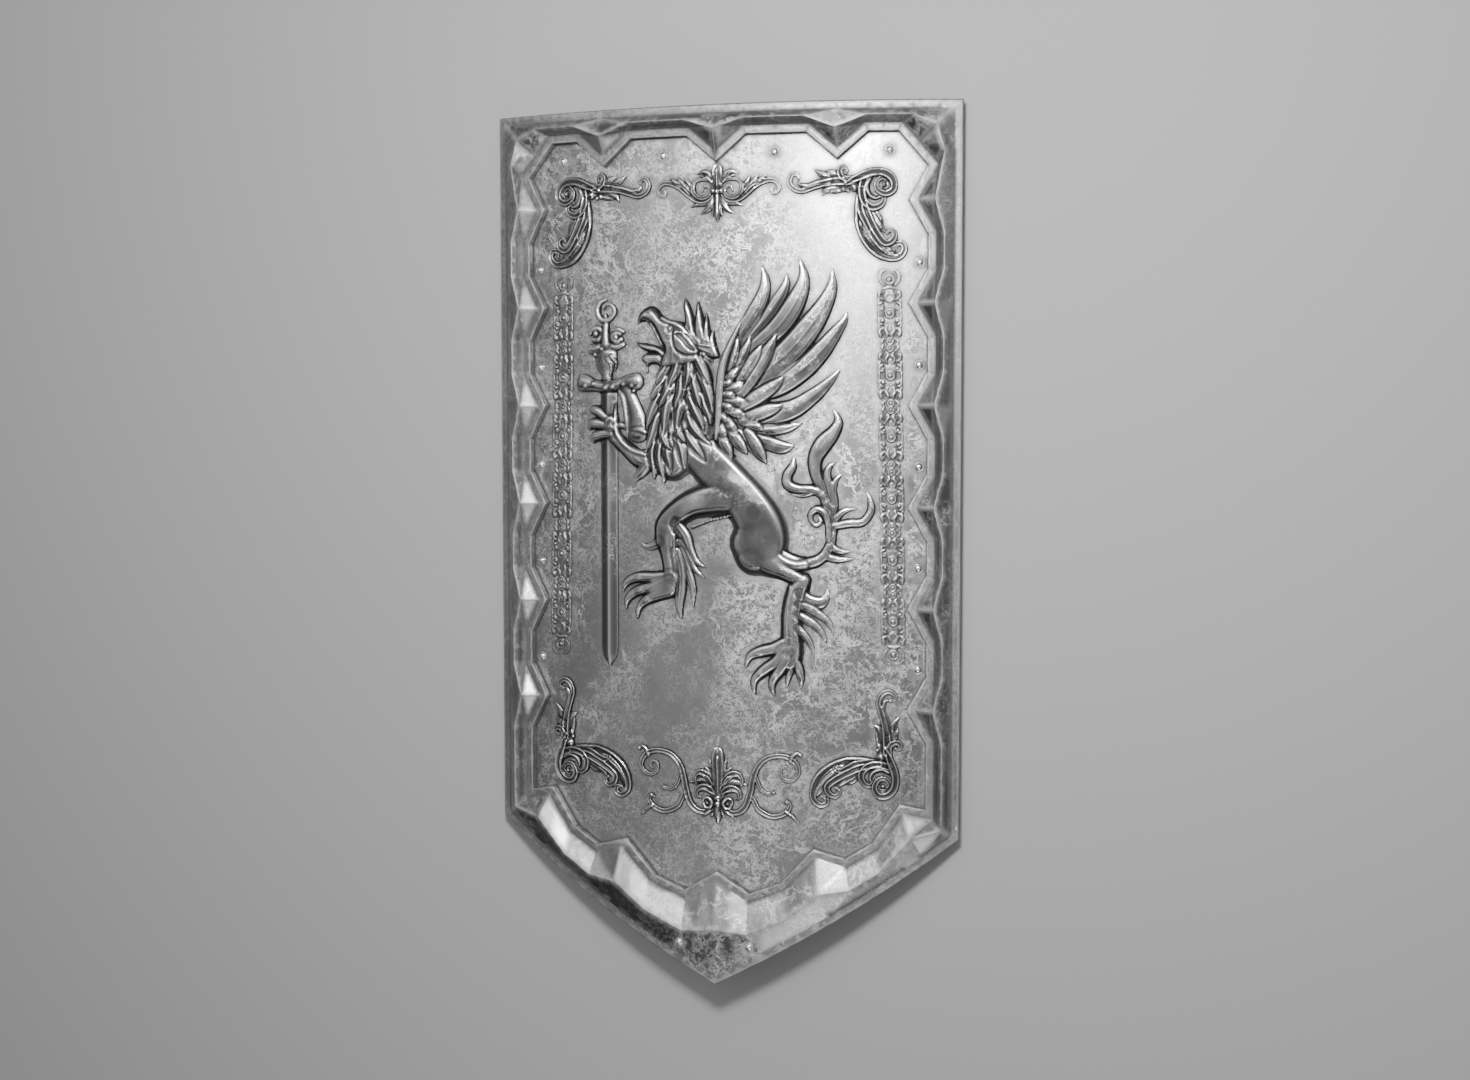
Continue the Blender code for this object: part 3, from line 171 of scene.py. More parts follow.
class Wax:
    """Heights in millimetres over the flat drawing; nothing is there where they are below zero."""

    def __init__(self, u0, u1, v0, v1, pitch):
        self.pitch = pitch
        self.u = np.arange(u0, u1 + pitch, pitch)
        self.v = np.arange(v0, v1 + pitch, pitch)
        self.U, self.V = np.meshgrid(self.u, self.v)
        self.H = np.full(self.U.shape, EMPTY)
        # Painted highlights, from 0 to 1, that the steel later shows as bright metal.
        self.rubbed_and_highlit = np.zeros(self.U.shape)

    def bright_spot(self, u, v, reach, share):
        """A round painted highlight, brightest in its middle."""
        here = share * np.exp(-((self.U - u) ** 2 + (self.V - v) ** 2) / reach ** 2)
        self.rubbed_and_highlit = np.maximum(self.rubbed_and_highlit, here)

    def window(self, line, margin):
        """The part of the grid round a line."""
        wide = line[:, 2].max() + margin
        spans = []
        for grid, values in ((self.v, line[:, 1]), (self.u, line[:, 0])):
            low = max(0, int((values.min() - wide - grid[0]) / self.pitch))
            high = min(len(grid), int((values.max() + wide - grid[0]) / self.pitch) + 2)
            spans.append(slice(low, high))
        return tuple(spans)

    def beside(self, line, part):
        """Way along the line, offset across it and half width there, for each grid point."""
        x, y = self.U[part].ravel(), self.V[part].ravel()
        a, b = line[:-1], line[1:]
        d = b[:, :2] - a[:, :2]
        length = np.hypot(d[:, 0], d[:, 1])
        start = np.concatenate([[0], np.cumsum(length)[:-1]])
        best, along, across = np.full(x.shape, 1e9), np.zeros(x.shape), np.zeros(x.shape)
        width = np.ones(x.shape)
        for k in range(len(a)):
            rx, ry = x - a[k, 0], y - a[k, 1]
            t = np.clip((rx * d[k, 0] + ry * d[k, 1]) / max(length[k] ** 2, 1e-9), 0, 1)
            w = a[k, 2] + (b[k, 2] - a[k, 2]) * t
            away = np.hypot(rx - t * d[k, 0], ry - t * d[k, 1])
            hit = away / w < best
            best[hit] = (away / w)[hit]
            along[hit] = (start[k] + t * length[k])[hit]
            side = np.where(d[k, 0] * ry - d[k, 1] * rx < 0, -1, 1)
            across[hit] = (away * side)[hit]
            width[hit] = w[hit]
        shape = self.U[part].shape
        return along.reshape(shape), across.reshape(shape), width.reshape(shape)

    def stroke(self, points, height, kind="round", sink=1.2, groove=0.8, gap=1.6, hair=0.0,
               strands=4, barb=0.0, every=5.0, step=1.5, thin=0.45, tilt=0.0):
        """One pull of the tool over what is there.

        sink presses down what it covers, groove and gap cut a line round it, hair and strands comb it
        lengthwise, barb and every comb it slantwise, thin is the share of the height that is left where
        it is narrow, and tilt raises one side.
        """
        line = smooth_line(points, step)
        part = self.window(line, gap + 1)
        if self.H[part].size == 0:
            return
        along, across, width = self.beside(line, part)
        far = np.abs(across / width)
        size = thin + (1 - thin) * width / line[:, 2].max()
        top = height * size * section_height(kind, far) * (1 + tilt * across / width)
        if kind in FLANKS:
            longest, share = FLANKS[kind]
            top = top * flank(width - np.abs(across), np.minimum(longest, share * width))
        if hair:
            top = top + hair * np.cos(np.pi * strands * across / width) * np.clip((1 - far) / 0.25, 0, 1)
        if barb:
            slant = along - 0.55 * np.abs(across)
            top = top + barb * np.cos(2 * np.pi * slant / every) * np.clip(1 - far ** 2, 0, 1)
        heights = self.H[part]
        cover = far < 1
        past = np.abs(across) - width
        ring = ~cover & (past < gap) & (heights > DEEPEST_GROOVE)
        heights[ring] = np.maximum(DEEPEST_GROOVE, heights[ring] - groove * (1 - past[ring] / gap))
        heights[cover] = np.maximum(top[cover], heights[cover] - sink)
        self.H[part] = heights

    def strokes(self, kind, rows, widths=None, **how):
        """Strokes of one kind, each over the last one; a row is a height and its points."""
        for height, points in rows:
            if widths:
                points = [(*place, width) for place, width in zip(points, widths)]
            self.stroke(points, height, kind, **how)

    def plate(self, outline, height, rounding=6.0, sink=0.6, groove=0.8, gap=1.8):
        """A flat form with a rounded edge, from its outline."""
        closed = smooth_line([(u, v, 0) for u, v in list(outline) + [outline[0]]], 2.0)
        part = self.window(closed, gap + 1)
        x, y = self.U[part], self.V[part]
        away, inside = np.full(x.shape, 1e9), np.zeros(x.shape, bool)
        for (au, av, _), (bu, bv, _) in zip(closed[:-1], closed[1:]):
            du, dv = bu - au, bv - av
            t = np.clip(((x - au) * du + (y - av) * dv) / max(du * du + dv * dv, 1e-9), 0, 1)
            away = np.minimum(away, np.hypot(x - au - t * du, y - av - t * dv))
            if av != bv:
                inside ^= ((av > y) != (bv > y)) & (x < au + (y - av) * du / dv)
        heights = self.H[part]
        ring = ~inside & (away < gap) & (heights > DEEPEST_GROOVE)
        heights[ring] = np.maximum(DEEPEST_GROOVE, heights[ring] - groove * (1 - away[ring] / gap))
        rise = height * flank(away, rounding)
        heights[inside] = np.maximum(rise[inside], heights[inside] - sink)
        self.H[part] = heights

    def boss(self, u, v, radius, height):
        """A round bead."""
        near = np.hypot(self.U - u, self.V - v) / radius
        dome = np.sqrt(np.clip(1 - near ** 2, 0, 1)) * height
        self.H = np.maximum(self.H, np.where(near < 1, dome, EMPTY))

    def swell(self, u, v, radius, height, power=1.0):
        """A soft swelling, or a hollow where the height is negative, in what is already there."""
        near = np.hypot(self.U - u, self.V - v) / radius
        there = self.H > 0
        self.H = np.where(there, self.H + np.clip(1 - near ** 2, 0, 1) ** power * height, self.H)
        self.H = np.where(there, np.maximum(self.H, 0.3), self.H)


tryout = Wax(0, 20, 0, 10, 1.0)
tryout.stroke([(3, 5, 3), (17, 5, 2)], 4.0)
print("grid points that one short stroke covers:", int((tryout.H > 0).sum()))

# %% [markdown]
# ## The griffin
#
# The figure is the common heraldic one: a griffin standing up and turned to the left, holding a sword
# upright. It was cast in one piece. It is drawn back to front, the way the wax was laid: what lies
# furthest behind comes first. Numbers are millimetres on the flat sheet, the third one a half width.

# %% Flesh: broad round strokes with no groove round them
def flesh(wax, points, height, thin=0.75):
    wax.stroke(points, height, "flesh", sink=0.0, groove=0.0, thin=thin)


TOE = {"sink": 0.4, "groove": 1.0, "gap": 1.8}


# %% The griffin's tail
def tail(wax):
    soft = {"sink": 0.3, "groove": 0.8}
    wax.strokes("pad", [
        (6.2, [(84, -600, 9), (100, -610, 10), (118, -616, 10), (136, -615, 9.5), (150, -606, 9),
               (158, -592, 8.5), (161, -574, 8), (159, -552, 8), (152, -532, 8.5), (145, -512, 9),
               (138, -494, 10), (138, -474, 12), (148, -456, 14), (162, -440, 11), (169, -424, 7),
               (160, -405, 0.5)]),
        (6.8, [(156, -584, 5), (156, -566, 6), (152, -550, 6.5), (141, -543, 6.5), (132, -549, 5.5),
               (132, -559, 4.5), (139, -565, 4), (146, -560, 3.4), (143, -554, 2.6)]),
        (6, [(150, -526, 6), (134, -517, 7.5), (114, -516, 8), (100, -510, 9), (99, -498, 8.5),
             (106, -486, 7), (109, -471, 0.5)]),
        (4.4, [(142, -518, 5), (120, -525, 3.6), (98, -522, 0.6)]),
        (5, [(160, -556, 6), (164, -536, 7), (159, -516, 8), (154, -500, 7), (157, -486, 5),
             (168, -479, 0.5)]),
        (4.4, [(164, -534, 4), (164, -510, 5), (169, -500, 4), (177, -494, 0.6)]),
        (4.6, [(163, -566, 6.5), (184, -562, 7.5), (203, -560, 7), (214, -545, 6.5), (213, -530, 4.5),
               (206, -517, 0.5)]),
        (4.2, [(166, -556, 6), (178, -545, 5), (198, -542, 0.6)]),
        (4.5, [(158, -592, 6.5), (172, -600, 5.5), (190, -600, 0.6)]),
        (4.8, [(150, -606, 7), (170, -611, 6), (196, -609, 0.6)])], **soft)


# %% [markdown]
# The wing is laid like a roof: the long flight feathers first, then two rows of shorter ones over
# their roots, then the thick leading edge that carries them all. Each feather is one leaf stroke with
# fine barbs. Modelling them as separate sheets would give truer gaps, but a casting has none.

# %% The wing
def wing(wax):
    # flight feathers, from the lowest to the topmost
    flight = {"sink": 1.8, "groove": 1.5, "gap": 2.2, "tilt": 0.16, "thin": 0.7}
    wax.strokes("feather", [
        (6.5, [(40, -444, 7), (66, -452, 10.5), (92, -460, 10), (110, -457, 0.8)]),
        (6.5, [(30, -440, 7), (48, -456, 9), (62, -472, 7), (72, -484, 0.8)]),
        (6.5, [(40, -430, 6.5), (72, -436, 8.5), (98, -434, 7.5), (121, -427, 0.8)])], **flight)
    wax.strokes("feather", [
        (7.0, [(34, -404, 14), (70, -414, 17), (105, -409, 15), (138, -388, 11), (160, -368, 6),
               (173, -353, 0.8)]),
        (7.4, [(40, -382, 14), (80, -378, 17), (118, -356, 17), (146, -330, 14), (168, -302, 9),
               (178, -288, 5), (181, -275, 0.8)]),
        (7.8, [(34, -366, 12), (66, -358, 16), (100, -332, 19), (130, -298, 18), (150, -268, 13),
               (160, -244, 8), (161, -219, 0.8)]),
        (8.2, [(20, -348, 8), (48, -328, 13), (82, -302, 16), (104, -275, 16), (118, -248, 12),
               (121, -226, 7), (114, -202, 0.8)])], barb=0.08, every=3, **flight)
    wax.stroke([(16, -338, 6), (44, -310, 8), (70, -284, 9), (88, -258, 9), (97, -240, 6),
                (98, -225, 0.8)], 7.6, "feather", **flight)
    wax.stroke([(14, -334, 7), (34, -306, 10), (54, -276, 12), (66, -252, 10), (68, -234, 7),
                (64, -215, 0.8)], 8.0, "feather", barb=0.08, every=3, **flight)
    # coverts, lower rows first
    cover = {"sink": 1.9, "groove": 1.1, "gap": 1.3, "tilt": 0.14, "thin": 0.75}
    wax.strokes("feather", [
        (8.0, [(-8, -456, 7), (-1, -472, 9), (5, -485, 6.5), (10, -496, 0.8)]),
        (8.4, [(5, -440, 7), (11, -455, 9.5), (17, -466, 7), (21, -476, 0.8)]),
        (8.2, [(44, -438, 7), (55, -456, 10), (63, -470, 7.5), (70, -482, 0.8)]),
        (8.6, [(19, -438, 7), (29, -451, 10), (37, -461, 7), (43, -470, 0.8)]),
        (8.8, [(34, -424, 6.5), (47, -427, 8.5), (58, -432, 7), (66, -438, 0.8)]),
        (9.0, [(36, -421, 8), (56, -416, 11), (73, -410, 10.5), (85, -406, 6.5), (92, -402, 0.8)]),
        (9.3, [(32, -407, 9), (56, -393, 12), (75, -381, 10.5), (87, -372, 6.5), (94, -364, 0.8)]),
        (9.5, [(28, -393, 10), (46, -369, 13), (63, -344, 12.5), (76, -323, 7.5), (85, -306, 0.8)]),
        (9.2, [(32, -372, 6.5), (44, -352, 9), (55, -336, 7.5), (65, -321, 0.8)]),
        (9.0, [(24, -362, 6), (34, -342, 8), (42, -326, 6.5), (48, -311, 0.8)]),
        (9.0, [(19, -356, 5), (25, -338, 6.5), (29, -322, 5), (30, -306, 0.8)])], barb=0.10, every=3, **cover)
    wax.strokes("feather", [
        (9.8, [(4, -428, 6), (9, -440, 7.5), (14, -450, 0.8)]),
        (9.8, [(12, -420, 6), (22, -432, 7.5), (30, -442, 0.8)]),
        (9.8, [(15, -408, 6.5), (30, -414, 8), (43, -420, 0.8)]),
        (9.8, [(14, -396, 7), (30, -398, 8.5), (46, -399, 0.8)]),
        (9.8, [(14, -382, 7), (28, -378, 8), (42, -370, 0.8)]),
        (9.8, [(13, -370, 6.5), (24, -360, 7), (34, -348, 0.8)])], sink=1.4, groove=0.9, gap=1.1)
    wax.strokes("feather", [
        (10.4, [(6, -414, 5), (12, -422, 5.5), (17, -430, 0.8)]),
        (10.4, [(9, -402, 5), (18, -406, 6), (26, -410, 0.8)]),
        (10.4, [(10, -388, 5.5), (20, -389, 6), (29, -390, 0.8)]),
        (10.4, [(11, -375, 5), (18, -372, 5), (25, -366, 0.8)])], sink=1.2, groove=0.8, gap=1.0)
    # leading edge of the wing: a thick rounded band, steep towards the mane
    wax.stroke([(-1, -448, 4), (2, -426, 6.5), (4, -401, 8), (6, -372, 8.5), (9.5, -348, 8), (17, -327, 6.5),
                (27, -306, 4.5), (38, -284, 1.5)], 11.2, "pad", sink=0.6, groove=0.9, thin=0.75)


# %% [markdown]
# Flesh is the opposite of feathers: broad round strokes that flow into each other with no groove
# between them, so the back, belly and thigh are one surface. Tufts and toes are laid on afterwards.

# %% Trunk and standing leg
def trunk_and_standing_leg(wax):
    # trunk and haunch
    flesh(wax, [(-44, -452, 30), (-12, -480, 33), (16, -508, 34), (44, -538, 35), (60, -566, 38),
                (60, -590, 42), (54, -604, 32)], 10.5, thin=0.75)
    flesh(wax, [(48, -590, 32), (70, -612, 24), (92, -626, 15), (112, -636, 12),
                (124, -640, 8)], 10.0, thin=0.7)
    # tail root over the haunch
    wax.stroke([(70, -584, 2), (80, -600, 6), (94, -613, 8), (110, -619, 8.5),
                (124, -618, 8)], 8.6, "round", sink=0.2, groove=0.6)
    # hock and shank of the standing leg
    flesh(wax, [(122, -640, 12), (113, -656, 17), (106, -684, 16.5), (105, -716, 16.5), (105, -740, 18),
                (102, -752, 15)], 9.0, thin=0.8)
    wax.strokes("ridge", [
        (9.4, [(104, -648, 4), (100, -690, 4), (99, -728, 4)]),
        (9.4, [(124, -650, 5), (114, -690, 4), (112, -728, 3)])], sink=0.2, groove=0.5)
    # tufts behind the hock
    wax.strokes("feather", [
        (6.0, [(116, -656, 6.9), (130, -668, 10.3), (146, -670, 9.2), (154, -660, 4.6), (155, -646, 0.6)]),
        (6.0, [(114, -672, 5.8), (134, -680, 6.9), (152, -692, 5.8), (161, -704, 4), (162, -716, 0.6)]),
        (6.0, [(114, -686, 5.8), (134, -698, 6.9), (148, -712, 4.6), (154, -727, 0.6)]),
        (5.6, [(114, -704, 5.8), (126, -718, 5.8), (134, -732, 4), (137, -747, 0.6)])], hair=0.1)
    # toes of the standing foot
    wax.strokes("pad", [
        (7.5, [(104, -744, 9.4), (114, -756, 8.3), (118, -770, 7.1), (119, -778, 4.7), (118, -789, 0.8)]),
        (6.5, [(102, -746, 8.3), (104, -762, 5.9), (100, -776, 4.7), (98, -789, 0.8)]),
        (8.0, [(98, -730, 15.3), (80, -734, 10.6), (62, -738, 9.4), (48, -744, 7.1), (42, -754, 4.1),
               (41, -764, 0.6)]),
        (8.6, [(98, -740, 14.2), (84, -752, 10.6), (66, -764, 9.4), (54, -776, 7.1), (52, -788, 4.7),
               (55, -799, 0.7)]),
        (8.8, [(98, -748, 10.6), (90, -762, 9.4), (80, -776, 7.7), (78, -788, 5.3), (83, -800, 0.7)])], **TOE)
    for u, v in ((60, -744), (62, -768), (84, -772), (115, -766), (100, -768)):
        wax.swell(u, v, 6, 0.8)


# %% The raised leg
def raised_leg(wax):
    # thigh and shin
    flesh(wax, [(30, -530, 24), (-4, -530, 26), (-36, -538, 22), (-60, -552, 20), (-76, -568, 18),
                (-78, -588, 17)], 10.0, thin=0.75)
    flesh(wax, [(-75, -570, 19), (-72, -592, 19), (-69, -612, 16), (-68, -630, 14),
                (-71, -642, 14)], 9.6, thin=0.8)
    wax.stroke([(20, -553, 1.5), (-10, -560, 2), (-38, -570, 2.5)], 9.0, "ridge", sink=0.2, groove=0.8)
    # fur behind the shin
    fur = {"sink": 0.8, "groove": 1.2, "gap": 1.6, "hair": 0.35, "thin": 0.7}
    wax.strokes("feather", [
        (6.6, [(-60, -566, 8), (-48, -582, 10.3), (-40, -602, 8), (-30, -617, 4.6), (-15, -625, 0.6)]),
        (6.2, [(-56, -592, 8), (-44, -612, 8), (-32, -628, 4.6), (-16, -641, 0.6)]),
        (6.2, [(-54, -604, 8), (-44, -630, 8), (-36, -654, 5.8), (-35, -684, 0.6)]),
        (7.0, [(-60, -604, 8), (-54, -630, 9.2), (-54, -656, 9.2), (-56, -678, 6.9), (-52, -699, 0.6)])],
                **fur)
    wax.stroke([(-62, -580, 6), (-62, -606, 5), (-60, -630, 4),
                (-64, -648, 2)], 9.0, "ridge", sink=0.2, groove=0.7)
    # spur
    wax.stroke([(-84, -590, 8), (-98, -597, 6), (-108, -597, 4),
                (-115, -590, 0.6)], 6.0, "round", sink=0.3, groove=0.6)
    # toes of the raised foot
    wax.strokes("pad", [
        (8.4, [(-68, -642, 14.2), (-92, -641, 10.6), (-116, -640, 8.3), (-132, -645, 7.1), (-140, -653, 4.7),
               (-142, -663, 0.6)]),
        (8.8, [(-70, -650, 14.2), (-96, -654, 10.6), (-118, -659, 8.3), (-131, -667, 7.1), (-137, -676, 4.7),
               (-137, -688, 0.6)]),
        (9.0, [(-70, -656, 13), (-90, -664, 10.6), (-106, -672, 8.3), (-116, -681, 5.9), (-119, -690, 4.7),
               (-120, -701, 0.6)])], **TOE)
    for u, v in ((-116, -645), (-114, -660), (-104, -672)):
        wax.swell(u, v, 7, 0.9)


# %% [markdown]
# The sword is cast with the figure, its blade ground to a ridge and fluted down one side. It is drawn
# before the paws, which then close over it.

# %% The sword
def sword(wax):
    # blade
    wax.stroke([(-164, -381, 14), (-164, -480, 14), (-164, -600, 13.8), (-164, -700, 13.6),
                (-164, -742, 13.4), (-163.5, -756, 7),
                (-163, -768, 0.6)], 6.0, "blade", sink=2, groove=0, thin=0.9)
    # grip
    wax.stroke([(-167, -328, 17), (-168, -340, 18), (-168, -350, 13), (-167, -360, 9),
                (-166, -372, 9)], 8.0, "round", thin=0.8)
    wax.strokes("ridge", [
        (8.6, [(-158, -336, 3), (-151, -345, 2.5), (-155, -358, 1)]),
        (8.8, [(-165, -338, 3), (-158, -348, 2.5), (-160, -362, 1)])], sink=0.4)
    # crossguard and its knobs
    wax.stroke([(-206, -371, 13), (-199, -372, 12), (-186, -375, 9), (-165, -377, 9), (-144, -373, 9),
                (-130, -371, 12), (-121, -370, 13)], 8.6, "round", sink=1.0, thin=0.7)
    for u, v, radius in ((-199, -376, 5), (-186, -373, 4.5), (-167, -379, 5), (-156, -378, 4.5),
                         (-139, -374, 4), (-126, -376, 5), (-123, -383, 3.5)):
        wax.boss(u, v, radius, 9.8)
    # scrolls under the pommel
    wax.strokes("round", [
        (7.4, [(-190, -325, 8), (-182, -324, 8), (-168, -321, 6), (-152, -322, 6), (-140, -319, 4)]),
        (7.0, [(-193, -304, 4), (-188, -298, 5), (-178, -297, 5), (-172, -304, 5), (-178, -312, 5),
               (-188, -312, 4)]),
        (6.6, [(-145, -304, 4), (-152, -303, 4.5), (-157, -310, 4.5), (-150, -316, 4.5), (-143, -312, 4)]),
        (6.4, [(-139, -302, 2.5), (-148, -298, 3.5), (-160, -301, 1)])])
    # neck and ring of the pommel
    wax.stroke([(-168, -318, 8), (-168, -302, 6), (-167, -288, 5), (-168, -278, 3)], 7.6, "round", thin=0.7)
    wax.stroke([(-166, -257, 2), (-176, -261, 4), (-181, -271, 4.8), (-177, -282, 4.8), (-168, -286, 4.5),
                (-158, -282, 4), (-153, -273, 3.6), (-158, -265, 3.2), (-167, -264, 2),
                (-171, -271, 1.2)], 6.6, "round", thin=0.6)
    wax.boss(-183, -304, 5, 7.6)
    wax.boss(-151, -309, 4.5, 7.4)
    for u, v in ((-184, -333), (-173, -325)):
        wax.boss(u, v, 4, 8.2)


# %% Forelegs
def forelegs(wax):
    # second foreleg, bell-shaped, behind the crossguard
    wax.stroke([(-118, -436, 19), (-120, -424, 16), (-124, -408, 13), (-130, -394, 12),
                (-136, -380, 10)], 7.6, "round", sink=0.6, thin=0.8)
    wax.stroke([(-146, -383, 3), (-140, -392, 5), (-136, -410, 5), (-134, -430, 4.5),
                (-134, -450, 0.8)], 8.4, "round", sink=0.2)
    wax.strokes("round", [
        (8.0, [(-104, -440, 4), (-118, -436, 4.5), (-132, -436, 2)]),
        (7.6, [(-134, -433, 4), (-144, -430, 5), (-151, -432, 3)])], sink=0.3)
    # foreleg on the blade with elbow
    flesh(wax, [(-70, -470, 22), (-98, -478, 17), (-118, -476, 14), (-134, -464, 12), (-148, -452, 11),
                (-160, -442, 12)], 9.4, thin=0.75)
    wax.stroke([(-104, -470, 5), (-122, -466, 5), (-138, -456, 5), (-150, -440, 5), (-152, -420, 4),
                (-152, -400, 1)], 9.6, "round", sink=0.2)
    wax.stroke([(-104, -484, 10), (-112, -494, 9), (-119, -502, 5),
                (-124, -511, 0.7)], 8.0, "round", sink=0.3)
    wax.strokes("ridge", [
        (10.0, [(-128, -462, 2), (-142, -452, 2), (-156, -444, 1)]),
        (10.2, [(-122, -474, 2.5), (-112, -480, 2.5), (-100, -482, 1)])], sink=0.2)
    # knuckles and claws round the blade
    wax.strokes("pad", [
        (9.8, [(-158, -424, 8.3), (-168, -420, 7.7), (-178, -412, 8.3), (-187, -409, 7.1),
               (-191, -412, 2.4)]),
        (10.2, [(-158, -434, 8.3), (-172, -430, 8.3), (-184, -428, 9.4), (-192, -430, 7.1),
                (-194, -436, 1.8)]),
        (9.6, [(-160, -442, 7.1), (-174, -443, 8.3), (-184, -446, 8.3), (-189, -450, 4.7), (-188, -456, 1)])],
                **TOE)
    wax.stroke([(-158, -420, 4), (-164, -424, 4), (-166, -432, 2)], 10.4, "round", sink=0.3)


# %% [markdown]
# The chest is a cone of overlapping locks. They are drawn from the lowest to the highest, so that
# every lock hides the root of the one below, as fur does.

# %% Mane and crest
def mane_and_crest(wax):
    # neck and chest
    flesh(wax, [(-40, -330, 33), (-42, -352, 37), (-46, -388, 41), (-52, -425, 47), (-58, -455, 43),
                (-66, -478, 30)], 10.0, thin=0.85)
    # locks, from the lowest row to the highest
    lock = {"sink": 2.0, "groove": 2.0, "gap": 2.0, "hair": 0.5, "strands": 3, "thin": 0.8}
    wax.strokes("lock", [
        (9.6, [(-92, -448), (-94, -472), (-92, -492), (-93, -507)]),
        (9.8, [(-80, -450), (-84, -474), (-80, -494), (-77, -510)]),
        (9.0, [(-70, -450), (-72, -468), (-68, -484), (-66, -497)]),
        (9.8, [(-56, -448), (-50, -466), (-48, -480), (-46, -492)]),
        (10.2, [(-42, -444), (-32, -458), (-22, -470), (-15, -479)]),
        (9.8, [(-88, -418), (-94, -440), (-100, -456), (-106, -468)]),
        (10.4, [(-74, -420), (-78, -442), (-74, -456), (-64, -464)]),
        (10.6, [(-58, -418), (-56, -438), (-50, -448), (-44, -454)]),
        (10.6, [(-40, -418), (-34, -432), (-22, -446), (-8, -456)]),
        (10.0, [(-84, -388), (-94, -408), (-100, -424), (-104, -436)]),
        (10.8, [(-70, -392), (-74, -412), (-76, -430), (-77, -444)]),
        (11.0, [(-52, -388), (-54, -408), (-57, -426), (-60, -441)]),
        (11.0, [(-38, -392), (-30, -410), (-22, -426), (-18, -439)]),
        (10.6, [(-22, -388), (-16, -404), (-10, -418), (-9, -430)]),
        (10.2, [(-74, -364), (-86, -378), (-94, -390), (-97, -396)]),
        (10.8, [(-64, -362), (-72, -384), (-80, -398), (-84, -406)]),
        (11.2, [(-50, -362), (-52, -384), (-58, -400), (-61, -410)]),
        (11.2, [(-36, -360), (-30, -380), (-26, -396), (-22, -408)]),
        (10.8, [(-22, -358), (-14, -378), (-8, -398), (-5, -416)]),
        (10.0, [(-70, -344), (-80, -358), (-86, -368), (-87, -375)]),
        (11.0, [(-54, -340), (-60, -358), (-66, -370), (-70, -380)]),
        (11.2, [(-40, -340), (-40, -358), (-42, -370), (-46, -380)]),
        (11.0, [(-28, -338), (-20, -354), (-14, -366), (-8, -374)])], widths=(8.6, 8.4, 5.2, 0.7), **lock)
    # crest behind the ear
    for height, outline in (
            (7.4, [(-48, -254), (-50, -270), (-48, -290), (-56, -316), (-20, -330), (-30, -300),
                   (-34, -280), (-40, -264)]),
            (7.0, [(-29, -255), (-32, -276), (-34, -300), (-30, -330), (-10, -334), (-16, -304),
                   (-21, -276)]),
            (6.6, [(-17, -274), (-20, -290), (-22, -306), (-20, -334), (-2, -338), (-8, -310), (-12, -284)]),
            (6.0, [(-5, -297), (-11, -305), (-14, -318), (-12, -338), (4, -338), (-1, -318)])):
        wax.plate(outline, height, 5.0, sink=0.2, groove=1.0)
    # midribs of the crest, and the fan of short hairs at its root
    wax.strokes("ridge", [
        (7.8, [(-46, -262, 1), (-43, -280, 1.6), (-40, -300, 1)]),
        (7.8, [(-28, -264, 1), (-26, -284, 1.6), (-25, -304, 1)]),
        (7.8, [(-16, -280, 1), (-14, -296, 1.4), (-13, -312, 1)])], sink=0.2, groove=0.5)
    for k in range(7):
        turn = np.radians(-8 - 13 * k)
        wax.stroke([(-44 + reach * np.cos(turn), -318 + reach * np.sin(turn), width)
                    for reach, width in ((8, 2.5), (26, 3.2), (44, 0.7))], 9.6, "ridge",
                   sink=0.3, groove=0.8, gap=1.2)


